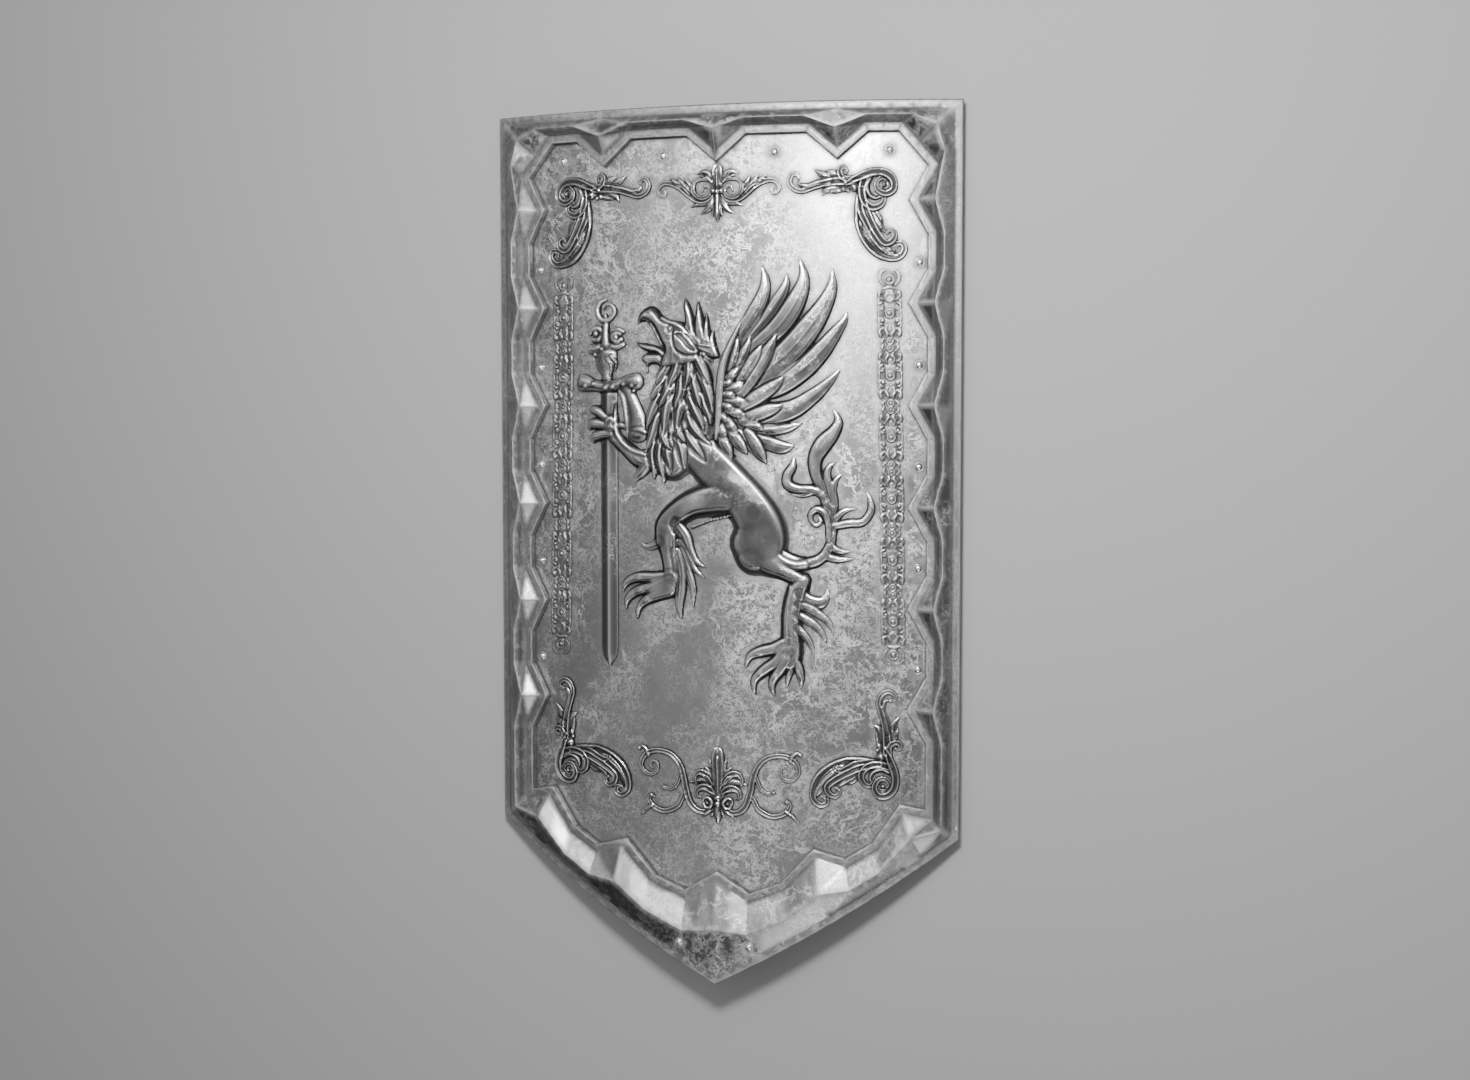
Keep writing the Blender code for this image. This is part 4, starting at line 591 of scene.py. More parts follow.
# %% The head
def head(wax):
    # jaw, tongue and lower beak
    wax.plate([(-105, -331), (-92, -331), (-78, -332), (-66, -345), (-80, -354), (-88, -348), (-96, -347),
               (-101, -350), (-102, -356), (-103, -362), (-107, -358), (-106, -350), (-110, -344),
               (-114, -339), (-110, -334)], 7.0, 4.5)
    wax.plate([(-127, -312), (-118, -315.5), (-108, -317), (-98, -318.5), (-88, -321), (-78, -326),
               (-66, -336), (-76, -342), (-88, -333), (-98, -331), (-106, -329), (-113, -326),
               (-120, -320)], 8.2, 5.0)
    wax.stroke([(-118, -318, 1), (-104, -322, 1.6), (-88, -328, 1)], 8.8, "ridge", sink=0.2, groove=0.5)
    # upper beak and skull in one form
    wax.plate([(-120.5, -298), (-119.5, -287), (-117, -279), (-111, -272), (-104, -268), (-97, -266.5),
               (-90, -268.5), (-84, -274), (-78, -281), (-70, -285), (-60, -287.5), (-48, -290), (-36, -300),
               (-24, -318), (-22, -345), (-60, -354), (-84, -354), (-84, -340), (-79, -327), (-84, -317),
               (-89, -306), (-95, -296), (-100, -292), (-106, -289), (-112, -289.5),
               (-117, -293)], 11.0, 9.0, sink=0.2)
    wax.stroke([(-80, -322, 2), (-86, -310, 3), (-92, -299, 3), (-100, -288, 2.4),
                (-110, -285, 1)], 10.6, "ridge", sink=0.3, groove=0.7)
    wax.swell(-101, -276, 5, -1.0)
    # brow, eye, cheek
    wax.stroke([(-80, -284, 3), (-70, -289, 4), (-60, -292, 4.5), (-50, -297, 4),
                (-42, -305, 2)], 12.0, "round", sink=0.2, groove=0.9)
    wax.swell(-67, -299, 7, -2.2)
    wax.boss(-67, -299, 4.4, 11.6)
    wax.swell(-68, -299, 1.8, -1.0)
    wax.stroke([(-60, -294, 1.6), (-58, -304, 2), (-60, -316, 1)], 11.8, "ridge", sink=0.3, groove=0.9)
    wax.stroke([(-77, -308, 2), (-68, -311, 2.2), (-60, -308, 1)], 11.4, "ridge", sink=0.2, groove=0.7)
    # ear, a pointed leaf with a rolled rim
    wax.plate([(-62, -298), (-50, -301), (-38, -309), (-29, -320), (-23.5, -332), (-34, -335.5), (-48, -334),
               (-59, -326), (-63, -312)], 12.6, 3.0, sink=1.2, groove=1.6, gap=2.6)
    wax.stroke([(-56, -307, 2), (-46, -311, 5), (-38, -319, 6),
                (-31, -329, 1)], 9.4, "flat", sink=2.6, groove=0)
    wax.stroke([(-58, -318, 1), (-48, -323, 3), (-38, -328, 2.4), (-30, -331, 0.8)], 11.8, "ridge", sink=0.2)
    wax.strokes("ridge", [
        (11.2, [(-58, -330, 2), (-57, -338, 2.6), (-52, -348, 0.7)]),
        (11.2, [(-66, -326, 2), (-68, -337, 2.6), (-66, -350, 0.7)]),
        (11.2, [(-48, -334, 2), (-44, -342, 2.6), (-38, -352, 0.7)]),
        (11.2, [(-74, -332, 2), (-78, -343, 2.6), (-80, -354, 0.7)])], sink=0.3)


# %% Soft muscles
def muscles(wax):
    for u, v, radius, height in (
            (60, -588, 30, 1.0), (26, -528, 26, -0.6), (-30, -540, 18, 0.8), (-72, -590, 14, 0.6),
            (96, -628, 12, 0.6), (20, -508, 16, 0.7), (52, -548, 14, -0.6), (-60, -560, 10, -0.5)):
        wax.swell(u, v, radius, height, power=2.0)


# %% Painted highlights
def painted_highlights(wax):
    """Painted highlights: round bright places on the wing, haunch, chest, feet and brow."""
    for u, v, reach, share in (
            (62, -404, 34, 0.75), (100, -388, 26, 0.50), (52, -432, 20, 0.65), (92, -440, 14, 0.60),
            (88, -606, 20, 0.45), (34, -500, 16, 0.35), (-34, -540, 20, 0.45), (82, -742, 20, 0.45),
            (-96, -652, 20, 0.50), (-92, -290, 16, 0.40), (96, -690, 18, 0.30), (60, -345, 20, 0.45),
            (-124, -468, 12, 0.40)):
        wax.bright_spot(u, v, reach, share)


# %% Carve the whole figure
FIGURE_PITCH = 1.12


def griffin():
    wax = Wax(-212, 220, -806, -198, FIGURE_PITCH)
    for part in (tail, wing, trunk_and_standing_leg, raised_leg, sword, forelegs, mane_and_crest, head,
                 muscles, painted_highlights):
        part(wax)
    return wax


griffin_wax = griffin()
print("the griffin covers", int((griffin_wax.H > 0).sum()), "grid points and stands",
      round(float(griffin_wax.H.max()), 1), "mm proud")

# %% [markdown]
# ## The applied ornaments
#
# Four corner scrolls, two crests and two side bands are castings too, thinner than the griffin. They
# are made of the same strokes. A scroll is a gutter that winds into its own eye, and a leaf is a row
# of leaf strokes that fan out from one root. Half of each crest is drawn and then mirrored, as its
# pattern was.

# %% The corner scroll, drawn at the top right
# Each row: section, height, and points of u, v and half width. A knob: u, v, radius, height.
SCROLL_STROKES = [
    ("round", 4.6, [(182, -112, 5), (166, -114, 7), (150, -116, 4)]),
    ("leaf", 5.0, [(168, -104, 6), (152, -98, 6), (142, -93, 4), (134, -87, 0.6)]),
    ("leaf", 5.2, [(170, -100, 6), (160, -93, 5), (150, -90, 0.6)]),
    ("leaf", 5.2, [(168, -108, 5), (156, -114, 5), (150, -118, 4), (146, -125, 0.6)]),
    ("leaf", 5.2, [(178, -114, 4), (166, -118, 3.5), (152, -120, 0.6)]),
    ("gutter", 6.0, [(188, -106, 6), (170, -105, 7), (150, -107, 6), (134, -112, 5), (118, -117, 4.5),
                     (106, -113, 4.5), (101, -104, 4.5), (105, -95, 4), (112, -95, 3.4), (114, -101, 2.6)]),
    ("leaf", 5.4, [(156, -104, 5), (140, -106, 4.5), (126, -110, 4), (115, -108, 3), (112, -103, 1)]),
    ("gutter", 6.4, [(196, -100, 5), (184, -102, 5), (174, -100, 5), (170, -91, 4.5), (175, -86, 4),
                     (180, -91, 3), (177, -97, 1.5)]),
    ("gutter", 6.4, [(200, -122, 8), (196, -140, 7), (198, -160, 8), (206, -180, 9), (220, -197, 9),
                     (236, -206, 6.5), (250, -206, 5.5), (258, -197, 5), (255, -188, 4.5), (247, -189, 4),
                     (247, -197, 2)]),
    ("leaf", 5.6, [(206, -150, 6), (210, -172, 8), (222, -188, 8), (236, -198, 6), (244, -201, 3)]),
    ("leaf", 5.6, [(202, -130, 6), (214, -146, 7), (224, -154, 5), (229, -163, 0.6)]),
    ("leaf", 6.2, [(208, -142, 6), (220, -160, 6), (228, -168, 4), (234, -174, 1)]),
    ("gutter", 7.0, [(201, -116, 6), (204, -138, 6), (212, -158, 6), (222, -176, 6), (232, -187, 5.5),
                     (242, -184, 5), (245, -175, 4.4), (239, -170, 3.6), (234, -175, 2.4)]),
    ("gutter", 6.6, [(198, -126, 4), (199, -146, 5), (206, -160, 5), (210, -170, 4), (206, -177, 3.4),
                     (201, -173, 2)]),
    ("ridge", 6.4, [(194, -124, 3), (193, -146, 3), (196, -164, 0.8)]),
    ("gutter", 7.0, [(204, -102, 6), (200, -116, 6), (203, -131, 6), (214, -140, 5.6), (226, -137, 5),
                     (230, -128, 4), (222, -122, 3), (214, -125, 1.6)]),
    ("ridge", 6.6, [(212, -100, 4), (207, -112, 4.4), (211, -124, 4), (220, -128, 3), (226, -124, 1.2)]),
    ("gutter", 7.6, [(180, -108, 4), (194, -101, 6), (212, -94, 6.5), (230, -94, 6.5), (242, -103, 6),
                     (243, -116, 5.6), (233, -122, 5), (222, -117, 4.4), (220, -107, 4), (228, -101, 3.4),
                     (236, -107, 3), (235, -115, 2.6), (229, -114, 2)]),
    ("ridge", 7.4, [(188, -106, 3), (200, -103, 3), (212, -100, 2), (218, -98, 0.8)])]
SCROLL_KNOBS = [(190, -113, 6.5, 6.8), (190, -113, 3, 7.6), (178, -107, 4, 6.2), (175, -116, 4, 6.0),
                (181, -118, 3, 6.0), (230, -110, 3.4, 7.8)]

# %% Carve the scroll
ORNAMENT_PITCH = 0.7


def carve(wax, strokes, knobs, **how):
    """Lays all strokes on a wax and then sets the knobs."""
    for kind, height, points in strokes:
        wax.stroke(points, height, kind, step=1.0, **how)
    for knob in knobs:
        wax.boss(*knob)
    return wax


scroll_wax = carve(Wax(88, 268, -220, -76, ORNAMENT_PITCH), SCROLL_STROKES, SCROLL_KNOBS,
                   sink=0.8, groove=0.9, gap=1.3)
print("a corner scroll covers", int((scroll_wax.H > 0).sum()), "grid points")

# %% The crest at the top
TOP_MIDDLE = [
    ("leaf", 6.4, [(0, -108, 4), (0, -98, 6), (0, -90, 8.5), (0, -84, 8), (0, -80, 3)]),
    ("round", 7.2, [(0, -108, 1.5), (0, -96, 2.2), (0, -86, 2.6), (0, -83, 0.8)]),
    ("round", 5.8, [(0, -120, 5), (0, -136, 5), (0, -146, 5), (0, -154, 2.5)])]
TOP_SIDE = [
    ("leaf", 4.8, [(4, -106, 3), (9, -95, 4.5), (18, -88, 4), (31, -91, 0.6)]),
    ("ridge", 5.0, [(8, -102, 3), (15, -96, 3.5), (26, -93, 0.6)]),
    ("leaf", 5.4, [(3, -120, 4), (14, -128, 5), (27, -131, 4), (39, -135, 0.8)]),
    ("leaf", 5.6, [(2, -122, 4), (9, -133, 5.4), (16, -140, 4), (25, -145, 0.8)]),
    ("leaf", 5.8, [(2, -122, 2), (4, -136, 3.4), (7, -147, 2)]),
    ("gutter", 5.4, [(8, -119, 4), (18, -126, 4.5), (31, -125, 5), (42, -116, 6.5), (54, -107, 6),
                     (68, -102, 4.4), (80, -102, 4), (87, -109, 3.6), (85, -117, 3), (78, -119, 2.8),
                     (76, -113, 2.4), (80, -110, 2)]),
    ("leaf", 4.8, [(34, -112, 4), (42, -103, 4), (48, -92, 0.6)]),
    ("leaf", 5.0, [(44, -110, 4), (53, -101, 4), (59, -92, 0.6)]),
    ("leaf", 5.0, [(54, -106, 4), (63, -99, 3.6), (70, -92, 0.6)]),
    ("gutter", 6.2, [(22, -114, 2), (19, -108, 2.6), (13, -108, 3), (10, -114, 3.4), (14, -121, 3.6),
                     (24, -123, 3.8), (33, -117, 3.8), (35, -107, 3.6), (30, -100, 3), (20, -98, 3),
                     (10, -100, 2)]),
    ("ridge", 6.0, [(40, -118, 2.4), (48, -110, 2.4), (58, -104, 0.8)])]
TOP_KNOBS = [(0, -115, 5, 7.4), (-6, -114, 4.5, 6.8), (6, -114, 4.5, 6.8)]


# %% The crest at the bottom
BOTTOM_MIDDLE = [
    ("leaf", 6.2, [(0, -938, 4), (0, -918, 8), (0, -902, 9), (0, -888, 10), (0, -879, 8), (0, -874, 3)]),
    ("round", 6.8, [(0, -935, 1.5), (0, -910, 2.6), (0, -890, 3.6), (0, -884, 2)]),
    ("round", 6.0, [(0, -956, 6), (0, -966, 6), (0, -976, 3)])]
BOTTOM_SIDE = [
    ("leaf", 5.6, [(4, -912, 3), (9, -900, 4), (13, -887, 0.8)]),
    ("leaf", 5.4, [(4, -922, 3), (12, -908, 4.5), (20, -899, 0.8)]),
    ("leaf", 4.6, [(5, -928, 4), (16, -920, 5), (28, -920, 4), (36, -922, 3), (44, -923, 0.8)]),
    ("gutter", 5.6, [(3, -938, 3), (9, -920, 5), (20, -909, 6), (30, -909, 4.6), (35, -917, 3.4),
                     (33, -924, 2)]),
    ("ridge", 6.2, [(6, -926, 2.5), (14, -914, 3), (24, -910, 0.8)]),
    ("gutter", 6.0, [(3, -944, 3), (11, -931, 5), (22, -928, 5.4), (31, -933, 4.6), (31, -941, 3.4),
                     (25, -943, 2)]),
    ("ridge", 6.6, [(5, -938, 2.4), (14, -933, 3), (24, -933, 0.8)]),
    ("gutter", 5.6, [(4, -954, 3), (14, -961, 4.4), (28, -962, 5), (40, -952, 5.4), (47, -932, 5.4),
                     (51, -912, 5.2), (58, -896, 5), (70, -885, 4.6), (86, -881, 4.4), (101, -883, 4.6),
                     (112, -892, 4.6), (115, -903, 4), (109, -912, 3.6), (99, -915, 3.3), (91, -909, 3),
                     (90, -900, 2.8), (97, -896, 2.5), (102, -902, 2.2), (98, -906, 1.8)]),
    ("gutter", 5.2, [(44, -930, 2), (52, -944, 4.2), (60, -957, 4.6), (78, -965, 4.6), (94, -961, 4.4),
                     (103, -951, 4), (100, -944, 3.4), (95, -946, 2)]),
    ("gutter", 4.8, [(52, -900, 2), (56, -914, 3.4), (62, -928, 3.6), (72, -934, 3.2), (79, -931, 2.4)]),
    ("round", 5.2, [(104, -888, 3), (107, -880, 3), (113, -876, 2.8), (119, -879, 2.2)]),
    ("round", 4.8, [(98, -958, 3), (107, -964, 3), (115, -972, 2)]),
    ("leaf", 5.0, [(12, -961, 3), (20, -967, 3), (24, -969, 1)]),
    ("round", 6.2, [(22, -950, 1.6), (20, -944, 2.4), (13, -943, 2.8), (8, -949, 3), (11, -956, 3),
                    (18, -956, 2.6), (20, -951, 2)]),
    ("leaf", 5.2, [(3, -958, 2.5), (8, -966, 2.5), (11, -970, 0.8)])]
BOTTOM_KNOBS = [(0, -943, 6.5, 6.8), (0, -951, 5.5, 7.0), (80, -932, 3.4, 5.4), (-80, -932, 3.4, 5.4),
                (118, -879, 3.6, 5.6), (-118, -879, 3.6, 5.6), (99, -944, 3.6, 5.6), (-99, -944, 3.6, 5.6),
                (15, -950, 2.4, 6.6), (-15, -950, 2.4, 6.6)]


# %% Mirror the halves and carve both crests
def mirrored(strokes):
    return [(kind, height, [(-u, v, w) for u, v, w in points]) for kind, height, points in strokes]


def crest(middle, side, knobs):
    """A crest from its middle strokes, the strokes of one side and all its knobs."""
    drawn = [point for *_, points in middle + side for point in points]
    across = max([abs(u) + w for u, _, w in drawn] + [abs(u) + radius for u, _, radius, _ in knobs]) + 2
    down = [v for _, v, _ in drawn]
    wax = Wax(-across, across, min(down) - 6, max(down) + 6, ORNAMENT_PITCH)
    return carve(wax, side + mirrored(side) + middle, knobs, sink=0.7, groove=0.8, gap=1.2)


top_wax = crest(TOP_MIDDLE, TOP_SIDE, TOP_KNOBS)
bottom_wax = crest(BOTTOM_MIDDLE, BOTTOM_SIDE, BOTTOM_KNOBS)
print("the crests cover", int((top_wax.H > 0).sum()), "and", int((bottom_wax.H > 0).sum()), "grid points")

# %% [markdown]
# The side bands are a run of one pattern: a ringed rosette with four curls round it, then a small
# pair of beads, six times over. A loop draws it, so the pitch can be changed in one place.

# %% Parts of a side band, on a straight middle line
FINE = {"sink": 0.4, "groove": 0.7, "gap": 1.0, "step": 0.8}
BAND_PITCH = 82.8
ROSETTES = 6


def ring(wax, v, radius, width, height):
    turns = np.linspace(0, 2 * np.pi, 13)
    wax.stroke([(radius * np.cos(a), v + radius * np.sin(a), width) for a in turns], height, "round", **FINE)


def curl(wax, u, v, side, up):
    """A spiral that tightens over nine steps of 40 degrees."""
    points = []
    for k in range(10):
        a, reach = np.radians(90 * up + side * up * 40 * k), 5.2 * (1 - 0.075 * k)
        points.append((u + reach * np.cos(a), v + reach * np.sin(a), 1.9 - 0.08 * k))
    wax.stroke(points, 2.9, "round", **FINE)


def rosette(wax, v):
    for s in (-1, 1):
        wax.stroke([(s * 13, v + 24, 2.2), (s * 15.5, v + 12, 2.2), (s * 15, v, 2.2),
                    (s * 15.5, v - 12, 2.2), (s * 13, v - 24, 2.2)], 2.5, "round", **FINE)
        for t in (-1, 1):
            curl(wax, s * 10.4, v + t * 9.4, -s, t)
            wax.boss(s * 10.4, v + t * 9.4, 2.4, 2.9)
            wax.strokes("round", [
                (2.7, [(s * 4, v + t * 16, 2), (s * 6, v + t * 22, 3), (s * 2.9, v + t * 27, 3.4),
                       (s * 5, v + t * 31, 1.6)]),
                (2.9, [(s * 9, v + t * 19, 1.6), (s * 14, v + t * 23, 3), (s * 13, v + t * 29, 3.2),
                       (s * 10, v + t * 26, 1.4)])], **FINE)
    ring(wax, v, 5.6, 1.5, 3.0)
    wax.boss(0, v, 4.2, 3.3)


def pair_of_beads(wax, v):
    """What stands between a rosette and the next one."""
    for drop in (-36.5, -46.3):
        ring(wax, v + drop, 4.4, 1.4, 2.9)
        wax.boss(0, v + drop, 2.8, 3.0)
    for s in (-1, 1):
        wax.stroke([(s * 7, v - 33, 1.6), (s * 11, v - 37, 2.6), (s * 9, v - 41.4, 2),
                    (s * 11, v - 46, 2.6), (s * 7, v - 50, 1.6)], 2.6, "round", **FINE)


def bud(wax, v, s):
    """The end of a band; s is 1 where it points up."""
    wax.stroke([(0, v + s * 18, 6), (0, v + s * 30, 5), (0, v + s * 38, 6)], 2.2, "flat", sink=0, groove=0)
    wax.stroke([(-8, v + s * 33, 2), (0, v + s * 35, 3), (8, v + s * 33, 2)], 2.7, "round", **FINE)
    ring(wax, v + s * 45, 5.8, 1.5, 3.0)
    wax.boss(0, v + s * 45, 4.2, 3.3)
    for t in (-1, 1):
        wax.stroke([(t * 8, v + s * 38, 2), (t * 12.7, v + s * 44, 2.8), (t * 13, v + s * 52, 3),
                    (t * 8, v + s * 57.5, 2.6), (t * 3.5, v + s * 57, 1.6), (t * 5, v + s * 53, 1)],
                   3.0, "gutter", **FINE)


# %% Run the pattern down the band
def side_band():
    wax = Wax(-20, 20, -480, 66, ORNAMENT_PITCH)
    length = BAND_PITCH * (ROSETTES - 1)
    wax.stroke([(0, 12, 9), (0, -length - 12, 9)], 1.6, "flat", sink=0, groove=0)
    for n in range(ROSETTES):
        rosette(wax, -BAND_PITCH * n)
        if n < ROSETTES - 1:
            pair_of_beads(wax, -BAND_PITCH * n)
    bud(wax, 0, 1)
    bud(wax, -length, -1)
    return wax


band_wax = side_band()
print("a side band covers", int((band_wax.H > 0).sum()), "grid points")

# %% [markdown]
# ## From wax to metal
#
# A grid of heights becomes a mesh by keeping the squares that are covered, wrapping them round the
# shield and closing the rim with a short wall down to the sheet. Two things keep it from looking
# like a height map: the stepped outline is smoothed along itself, and two marks are stored at every
# point, one for hollows and steep sides and one for high spots, which the steel later reads as
# painted shade and as polish with painted highlights.

# %% Blur, and the marks that come from it
def blurred(heights, cells):
    """Box blur, twice over, by running sums."""
    out = heights.astype(float)
    span = 2 * cells + 1
    for axis in (0, 1, 0, 1):
        pad = [(0, 0), (0, 0)]
        pad[axis] = (cells + 1, cells)
        total = np.cumsum(np.pad(out, pad, mode="edge"), axis=axis)
        upper = np.take(total, range(span, total.shape[axis]), axis=axis)
        lower = np.take(total, range(0, total.shape[axis] - span), axis=axis)
        out = (upper - lower) / span
    return out


def hollow_and_high(wax, easy, reach=2.0, depth=1.1):
    """How hollow and how proud each grid point is, from 0 to 1; hollows and slopes over easy get painted
    shade.
    """
    heights = np.maximum(wax.H, 0)
    cells = max(1, int(round(reach / wax.pitch)))
    near, wide = blurred(heights, cells), blurred(heights, 3 * cells)
    # Places below the blurred surface get painted shade.
    hollow = (np.clip((near - heights) / depth, 0, 1) * 0.7
              + np.clip((wide - heights) / (2.5 * depth), 0, 1) * 0.4)
    down, across = np.gradient(np.where(wax.H > 0, heights, -1.0), wax.pitch)
    steep = np.clip((np.hypot(down, across) - easy) / 0.8, 0, 1)
    # Steep sides get painted shade, dark on every side of a form.
    hollow = np.maximum(hollow, 0.95 * steep)
    high = (np.clip((heights - near) / depth, 0, 1) * 0.8
            + np.clip((heights - wide) / (3 * depth), 0, 1) * 0.5)
    # The wax's painted highlights join the worn high spots.
    high = np.maximum(np.clip(high, 0, 1), wax.rubbed_and_highlit * np.clip(1 - 1.6 * hollow, 0, 1))
    return np.clip(hollow, 0, 1), high


# %% A fast way to fill a mesh
def mark_points(mesh, **marks):
    """Stores a number from 0 to 1 at every point, under the name of each mark."""
    for mark, values in marks.items():
        mesh.attributes.new(mark, "FLOAT", "POINT").data.foreach_set("value", values.astype(np.float32))


def mesh_of(name, points, faces, **marks):
    """A mesh from arrays; all faces have the same number of corners."""
    mesh = bpy.data.meshes.new(name)
    mesh.vertices.add(len(points))
    mesh.vertices.foreach_set("co", points.astype(np.float32).ravel())
    mesh.loops.add(faces.size)
    mesh.loops.foreach_set("vertex_index", faces.astype(np.int32).ravel())
    mesh.polygons.add(len(faces))
    mesh.polygons.foreach_set("loop_start", np.arange(0, faces.size, faces.shape[1], dtype=np.int32))
    mesh.update(calc_edges=True)
    mark_points(mesh, **marks)
    return mesh


def show(name, mesh, stands_for, crease=60):
    """Puts a piece in the scene, on the body, in place of its measured solid."""
    mesh.shade_smooth()
    mesh.set_sharp_from_angle(angle=radians(crease))
    piece = bpy.data.objects.new(name, mesh)
    bpy.context.scene.collection.objects.link(piece)
    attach(piece, "root")
    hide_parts(stands_for)
    return piece


# %% The covered squares and their rim
def covered_squares(solid):
    """Which grid points are used, and each covered square as four point numbers."""
    full = solid[:-1, :-1] & solid[1:, :-1] & solid[:-1, 1:] & solid[1:, 1:]
    used = np.zeros_like(solid)
    first, last = slice(0, -1), slice(1, None)
    for rows, columns in ((first, first), (last, first), (first, last), (last, last)):
        used[rows, columns] |= full
    number = np.full(solid.shape, -1)
    number[used] = np.arange(used.sum())
    corners = (number[:-1, :-1], number[:-1, 1:], number[1:, 1:], number[1:, :-1])
    return used, np.stack([corner[full] for corner in corners], 1)


def smoothed_rim(u, v, quads):
    """Evens the stepped outline along itself; gives the rim's sides and points."""
    count = len(u)
    start, end = quads.ravel(), np.roll(quads, -1, axis=1).ravel()
    single = ~np.isin(start * count + end, end * count + start)
    start, end = start[single], end[single]
    after, before = np.arange(count), np.arange(count)
    after[start], before[end] = end, start
    edge = np.unique(start)
    for _ in range(4):
        for way in (u, v):
            way[edge] = 0.5 * way[edge] + 0.25 * (way[after[edge]] + way[before[edge]])
    return start, end, edge


# %% Cast a wax onto the shield
CASTING_SEAT = -FIELD_DEPTH + 0.0004
# Slopes steeper than these, in mm per mm, get painted shade.
GRIFFIN_EASY, ORNAMENT_EASY = 0.30, 0.85
THINNEST = 0.35


def casting(name, wax, place=None, mirror=False, easy=ORNAMENT_EASY):
    """A mesh piece from a wax; place maps the drawing's u and v, in mm, to where the casting sits."""
    solid = wax.H > 0
    finished = blurred(np.where(solid, wax.H, 0), 1) / np.maximum(blurred(solid, 1), 1e-6)
    used, quads = covered_squares(solid)
    u, v, h = wax.U[used], wax.V[used], np.maximum(finished[used], THINNEST)
    start, end, edge = smoothed_rim(u, v, quads)
    foot = np.full(len(u), -1)
    foot[edge] = len(u) + np.arange(len(edge))
    faces = np.vstack([quads, np.stack([end, start, foot[start], foot[end]], 1)])
    u, v, h = np.append(u, u[edge]), np.append(v, v[edge]), np.append(h, np.zeros(len(edge)))
    if place:
        u, v = place(u, v)
    if mirror:
        u, faces = -u, faces[:, ::-1]
    hollow, high = (grid[used] for grid in hollow_and_high(wax, easy))
    points = on_shield(u * MM, v * MM, h * MM + CASTING_SEAT)
    # The first mark is painted shade in hollows, on steep sides and on the foot wall; the second is wear on
    # high spots with the painted highlights.
    mesh = mesh_of(name, points, faces, grime=np.append(hollow, np.ones(len(edge))),
                   wear=np.append(high, np.zeros(len(edge))))
    print(name, "has", 2 * len(faces), "triangles")
    return show(name + "_carved", mesh, name)


# %% Put every casting in its place
LOW_SCROLL = (230.25, -919.0)
TOP_SCROLL = (230.25, -112.0)
BAND_START = (238.55, -281.0)
BAND_LEAN = 6.5 / 414.0


def turned_low(u, v):
    """The top scroll's drawing turned a quarter clockwise about the lower corner's eye."""
    return LOW_SCROLL[0] + (v - TOP_SCROLL[1]), LOW_SCROLL[1] - (u - TOP_SCROLL[0])


def along_the_edge(u, v):
    """The band leans a little outwards on its way down."""
    return BAND_START[0] + u - v * BAND_LEAN, BAND_START[1] + v


castings = [casting("griffin_with_sword", griffin_wax, easy=GRIFFIN_EASY), casting("top_crest", top_wax),
            casting("bottom_crest", bottom_wax)]
for side, mirror in (("right", False), ("left", True)):
    castings.append(casting(f"corner_scroll_top_{side}", scroll_wax, None, mirror))
    castings.append(casting(f"corner_scroll_low_{side}", scroll_wax, turned_low, mirror))
    castings.append(casting(f"side_band_{side}", band_wax, along_the_edge, mirror))

# %% [markdown]
# ## The sheet behind them
#
# The face is one sheet of steel rolled to a gentle curve. Real sheet is never quite true, and on
# metal a fifth of a millimetre shows, because reflections bend over it. So the sheet is a fine grid
# with soft, shallow waves in it. It also stores a mark of painted shade: dark where a casting or the
# frame stands on it, fading out past their edges, and in a ring round each rivet.

# %% How much of the sheet each casting covers
def lies_under(wax, a, b):
    """Whether the wax has metal at each place of its own drawing."""
    column = np.round((a - wax.u[0]) / wax.pitch).astype(int)
    row = np.round((b - wax.v[0]) / wax.pitch).astype(int)
    on_grid = (column >= 0) & (column < len(wax.u)) & (row >= 0) & (row < len(wax.v))
    found = np.zeros(a.shape, bool)
    found[on_grid] = wax.H[row[on_grid], column[on_grid]] > 0
    return found


def covered_by_castings(u, v):
    """1 under a casting and 0 elsewhere, for points of the sheet in millimetres."""
    cover = lies_under(griffin_wax, u, v) | lies_under(top_wax, u, v) | lies_under(bottom_wax, u, v)
    down_band = v - BAND_START[1]
    for side in (u, -u):
        cover |= lies_under(scroll_wax, side, v)
        cover |= lies_under(scroll_wax, TOP_SCROLL[0] - (v - LOW_SCROLL[1]),
                            TOP_SCROLL[1] + (side - LOW_SCROLL[0]))
        cover |= lies_under(band_wax, side - BAND_START[0] + down_band * BAND_LEAN, down_band)
    return cover.astype(float)


# %% Roll the sheet
SHEET_PITCH = 3.3
EDGE_GAP = 0.3
TAIL_CLEARANCE = 0.010


def soft_waves(u, v):
    """Hand-made unevenness of the sheet, in millimetres."""
    return (0.10 * np.sin(u / 47 + 1.3) * np.sin(v / 61 + 0.4) + 0.07 * np.sin(u / 23 + v / 35)
            + 0.05 * np.sin(u / 13 - v / 17 + 2.0))


def places_of(node):
    """Rows of x, y and z of a measured solid's corners."""
    return np.array([v.co[:] for v in nodes[node].data.vertices])


